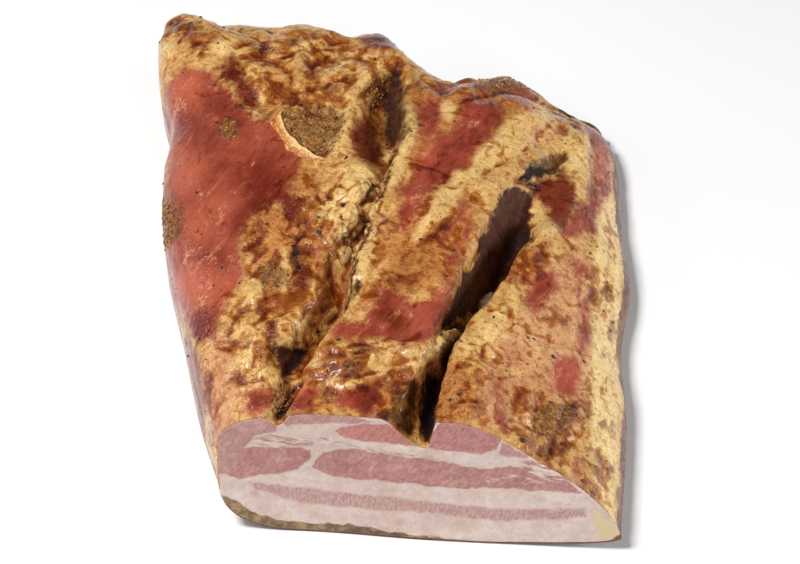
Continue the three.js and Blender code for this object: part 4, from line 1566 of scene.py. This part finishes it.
def lens_surface(s, t):
    """An uneven ellipsoid: s runs round it and t from pole to pole."""
    round_it, to_pole = 2 * np.pi * s, np.pi * (t - 0.5)
    ball = [np.cos(to_pole) * np.cos(round_it), np.cos(to_pole) * np.sin(round_it), np.sin(to_pole)]
    own = np.stack(ball, axis=-1)
    own = own * (1 + 0.18 * solid_noise(own, 0.8, 12))[..., None] * FAT_HALF_SIZE
    x = own[..., 0] * np.cos(FAT_TURN) - own[..., 1] * np.sin(FAT_TURN)
    y = own[..., 0] * np.sin(FAT_TURN) + own[..., 1] * np.cos(FAT_TURN)
    return np.stack([x, y, own[..., 2]], axis=-1) + skin[nearest_seen(*FAT_PIXEL)]


lens_s, lens_t = np.meshgrid(np.linspace(0, 1, 41), np.linspace(0, 1, 21))
loose_fat = closed_tube("loose_fat", lens_surface(lens_s, lens_t))
wet_fat = Finish("wet_fat", roughness=0.25, Coat_Weight=0.3, Coat_Roughness=0.08)
loose_fat.data.materials.append(
    wet_fat.finish(
        wet_fat.ramp(wet_fat.noise(4, detail=3), [(0.4, tone(190, 168, 138)), (0.6, tone(140, 112, 84))]),
        None,
        wet_fat.noise(1.5),
    )
)

# %% Flap finish
flap_finish = Finish(
    "dried_skin", roughness=0.3, Specular_IOR_Level=0.4, Coat_Weight=0.3, Coat_Roughness=0.1
)
streaks = flap_finish.noise(2.2, detail=3, rough=0.6)
specks = flap_finish.noise(0.8, detail=2)
flap_colour = flap_finish.ramp(
    flap_finish.total((0.6, streaks), (0.4, specks)),
    [(0.36, tone(236, 176, 104)), (0.48, tone(212, 136, 72)), (0.6, tone(150, 80, 38))],
)
# A pale rim along the free edge: paler dried skin with a painted highlight.
rim_and_highlight_share = flap_finish.fade(flap_finish.total((1, flap_finish.field("reach")), (1.2, streaks)), 1.25, 1.5)
flap_colour = flap_finish.blend(rim_and_highlight_share, flap_colour, tone(240, 200, 132))
dried_skin = flap_finish.finish(flap_colour, None, flap_finish.total((1, streaks), (0.5, specks)))
flap.data.materials.append(dried_skin)

# %% [markdown]
# ## Pepper and spice
#
# Cracked pepper sticks to the crust as black flecks, and coarse spice gathers in a few hollows.
# Particles or instances would be quick, but a real mesh exports as it is. One rounded grain of
# 20 faces is worked out once. Then arrays turn, stretch and place hundreds of copies on points of
# the crust's grid, and one mesh holds all of a kind.

# %% One grain, and many of them
GRAIN_CORNERS = 12
GRAIN_LIFT = 0.3  # share of its half height by which a grain's middle stands above the crust


def icosahedron():
    """12 corners (0, +-1, +-golden) and their turns, on the unit sphere, and 20 triangles."""
    golden = (1 + 5**0.5) / 2
    corners = np.array(
        [
            (-1, golden, 0), (1, golden, 0), (-1, -golden, 0), (1, -golden, 0),
            (0, -1, golden), (0, 1, golden), (0, -1, -golden), (0, 1, -golden),
            (golden, 0, -1), (golden, 0, 1), (-golden, 0, -1), (-golden, 0, 1),
        ]
    )  # fmt: skip
    triangles = np.array(
        [
            (0, 11, 5), (0, 5, 1), (0, 1, 7), (0, 7, 10), (0, 10, 11), (1, 5, 9), (5, 11, 4),
            (11, 10, 2), (10, 7, 6), (7, 1, 8), (3, 9, 4), (3, 4, 2), (3, 2, 6), (3, 6, 8),
            (3, 8, 9), (4, 9, 5), (2, 4, 11), (6, 2, 10), (8, 6, 7), (9, 8, 1),
        ]
    )  # fmt: skip
    return corners / np.linalg.norm(corners[0]), triangles


def scatter(name, rng, places, outwards, sizes, flatness):
    """Copies of the grain: stretched at random, turned at random, pressed a third into the crust,
    so that the middle stands a third of its own half height above it."""
    corners, triangles = icosahedron()
    count = len(places)
    knobbly = corners * rng.uniform(0.75, 1.2, (count, GRAIN_CORNERS, 1))
    stretched = knobbly * rng.uniform(0.6, 1.3, (count, 1, 3)) * (1, 1, flatness)
    side = np.cross(outwards, rng.normal(size=(count, 3)))
    side /= np.linalg.norm(side, axis=1, keepdims=True)
    frames = np.stack([side, np.cross(outwards, side), outwards], axis=1)
    turned_grains = np.einsum("nkc,ncd->nkd", stretched * sizes[:, None, None], frames)
    middle = places + outwards * (sizes * flatness * GRAIN_LIFT)[:, None]
    points = (turned_grains + middle[:, None]).reshape(-1, 3)
    faces = (triangles + GRAIN_CORNERS * np.arange(count)[:, None, None]).reshape(-1, 3)
    return build_mesh(name, points, faces.tolist())


def pick(rng, weights, count):
    """Draws grid points of the crust with the given weights."""
    flat = weights.ravel() / weights.sum()
    return rng.choice(flat.size, count, replace=False, p=flat)


def beside(rng, chosen):
    """A random place in the grid cell before each chosen point, so that no rows show."""
    row, column = np.unravel_index(chosen, facing.shape)
    place = skin[row, column]
    for back_row, back_column in ((row - 1, column), (row, column - 1)):
        neighbour = skin[np.maximum(back_row, 0), np.maximum(back_column, 0)]
        place = place + rng.random((len(chosen), 1)) * (neighbour - skin[row, column])
    return place


# %% Pepper
# The largest flecks, where the photograph shows them.
LARGE_FLECKS = [
    (456, 120), (592, 254), (523, 440), (459, 393), (446, 229), (455, 250), (348, 366), (358, 361),
    (327, 197), (320, 215), (318, 232), (240, 106), (420, 125), (294, 94), (340, 340), (317, 330),
    (379, 413), (582, 481), (554, 356), (528, 337), (218, 122), (301, 105), (338, 118), (347, 157),
    (376, 57), (202, 17), (196, 192),
]  # fmt: skip
ABOVE_RIND = 16  # mm
OFF_THE_CUT = 0.01  # share of the length
PEPPER_COUNT = 420
PEPPER_FLATNESS = 0.6
rng = np.random.default_rng(5)
skin_normals = surface_normals(skin)
step_across = np.linalg.norm(np.gradient(skin, axis=1), axis=-1)
step_along = np.linalg.norm(np.gradient(skin, axis=0), axis=-1)
face_area = step_across * step_along * (skin[..., 2] > ABOVE_RIND) * (along > OFF_THE_CUT)
skin_fields = crust_fields(skin, facing, skin_hollow)
by_hand = [np.ravel_multi_index(nearest_seen(*pixel), facing.shape) for pixel in LARGE_FLECKS]
pepper_weights = face_area * (1 + 3 * (skin_fields["spice"] > 0))
chosen = np.concatenate([by_hand, pick(rng, pepper_weights, PEPPER_COUNT)])
pepper_sizes = 0.28 + 0.55 * rng.random(len(chosen)) ** 2.5
pepper_sizes[: len(by_hand)] = rng.uniform(0.85, 1.3, len(by_hand))
outwards = skin_normals.reshape(-1, 3)[chosen]
pepper = scatter("pepper_flecks", rng, beside(rng, chosen), outwards, pepper_sizes, PEPPER_FLATNESS)
pepper_finish = Finish("cracked_pepper", roughness=0.45)
pepper.data.materials.append(
    pepper_finish.finish(
        pepper_finish.ramp(
            pepper_finish.noise(0.7),
            [(0.35, tone(26, 24, 26)), (0.6, tone(52, 48, 46)), (0.75, tone(84, 74, 62))],
        )
    )
)

# %% Spice crumbs
CRUMB_COUNT = 1300
CRUMB_FLATNESS = 0.7
spice_weights = face_area * np.clip(skin_fields["spice"] / 3 + 0.3, 0, 1)
chosen = pick(rng, spice_weights, CRUMB_COUNT)
crumb_sizes = 0.28 + 0.5 * rng.random(CRUMB_COUNT) ** 2
outwards = skin_normals.reshape(-1, 3)[chosen]
crumbs = scatter("spice_crumbs", rng, beside(rng, chosen), outwards, crumb_sizes, CRUMB_FLATNESS)
crumb_finish = Finish("spice_crumbs", roughness=0.5)
crumbs.data.materials.append(
    crumb_finish.finish(
        crumb_finish.ramp(
            crumb_finish.noise(2.5, detail=1),
            [(0.35, tone(88, 52, 24)), (0.5, tone(142, 92, 42)), (0.68, tone(196, 146, 80))],
        )
    )
)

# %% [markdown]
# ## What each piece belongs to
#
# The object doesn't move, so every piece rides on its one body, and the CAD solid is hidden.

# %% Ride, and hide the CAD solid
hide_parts("brisket")
for piece in (crust_piece, cut_piece, flap, loose_fat, pepper, crumbs):
    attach(piece, "root")

# %% [markdown]
# ## Floor, light and camera
#
# The photograph was taken from in front of the cut, looking down at 45 degrees with a long lens,
# in soft studio light. The floor is plain and pale.

# %% Floor
HALF_FLOOR = 4  # metres
FLOOR_GAP = 0.0002  # the floor lies this far below the rind, so that the two don't flicker
floor_mesh = bpy.data.meshes.new("floor")
corner_signs = ((-1, -1), (1, -1), (1, 1), (-1, 1))
floor_corners = [(x * HALF_FLOOR, y * HALF_FLOOR, -FLOOR_GAP) for x, y in corner_signs]
floor_mesh.from_pydata(floor_corners, [], [(0, 1, 2, 3)])
floor = bpy.data.objects.new("floor", floor_mesh)
bpy.context.scene.collection.objects.link(floor)
floor_finish = Finish("pale_floor", roughness=0.8)
floor_colour = floor_finish.ramp(
    floor_finish.noise(400), [(0, tone(248, 248, 248)), (1, tone(253, 253, 253))]
)
floor.data.materials.append(floor_finish.finish(floor_colour))
floor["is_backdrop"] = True


# %% Lights
LIT_PLACE = (0, 0, 0.03)  # metres: the middle of the slab


def softbox(name, place, size, power):
    """A square area light at a place in metres, facing the middle of the slab."""
    light = bpy.data.lights.new(name, "AREA")
    light.shape = "SQUARE"
    light.size = size
    light.energy = power
    box = bpy.data.objects.new(name, light)
    box.location = place
    direction = box.location - type(box.location)(LIT_PLACE)
    box.rotation_euler = direction.to_track_quat("Z", "Y").to_euler()
    bpy.context.scene.collection.objects.link(box)


# Each: place and size in metres, power in watts.
LIGHTS = {
    "key": ((-0.62, -0.15, 1.25), 0.38, 18.5),
    "front": ((0.35, -1.2, 0.75), 0.5, 3),
    "right": ((1.3, -0.2, 0.32), 0.4, 10),
    "left": ((-1.1, 0.1, 0.6), 0.5, 2),
}
WORLD_STRENGTH = 0.08
for light_name, (light_place, light_size, power) in LIGHTS.items():
    softbox(light_name, light_place, light_size, power)
world = bpy.data.worlds.new("studio")
world.use_nodes = True
world.node_tree.nodes["Background"].inputs["Color"].default_value = (1, 1, 1, 1)
world.node_tree.nodes["Background"].inputs["Strength"].default_value = WORLD_STRENGTH
bpy.context.scene.world = world
bpy.context.scene.view_settings.view_transform = "Standard"

# %% Camera
camera_data = bpy.data.cameras.new("camera")
camera_data.lens = LENS
camera_data.sensor_width = SENSOR
camera = bpy.data.objects.new("camera", camera_data)
camera.location = camera_place / 1000
camera.rotation_euler = (np.pi / 2 - ELEVATION, 0, 0)
bpy.context.scene.collection.objects.link(camera)
bpy.context.scene.camera = camera

# %% Print the size of the CAD part and of the pieces
own_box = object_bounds()
boxes = {"cad": cad_box, "visual": own_box}
for name, box in boxes.items():
    print(name, [[round(1000 * value, 1) for value in corner] for corner in box])
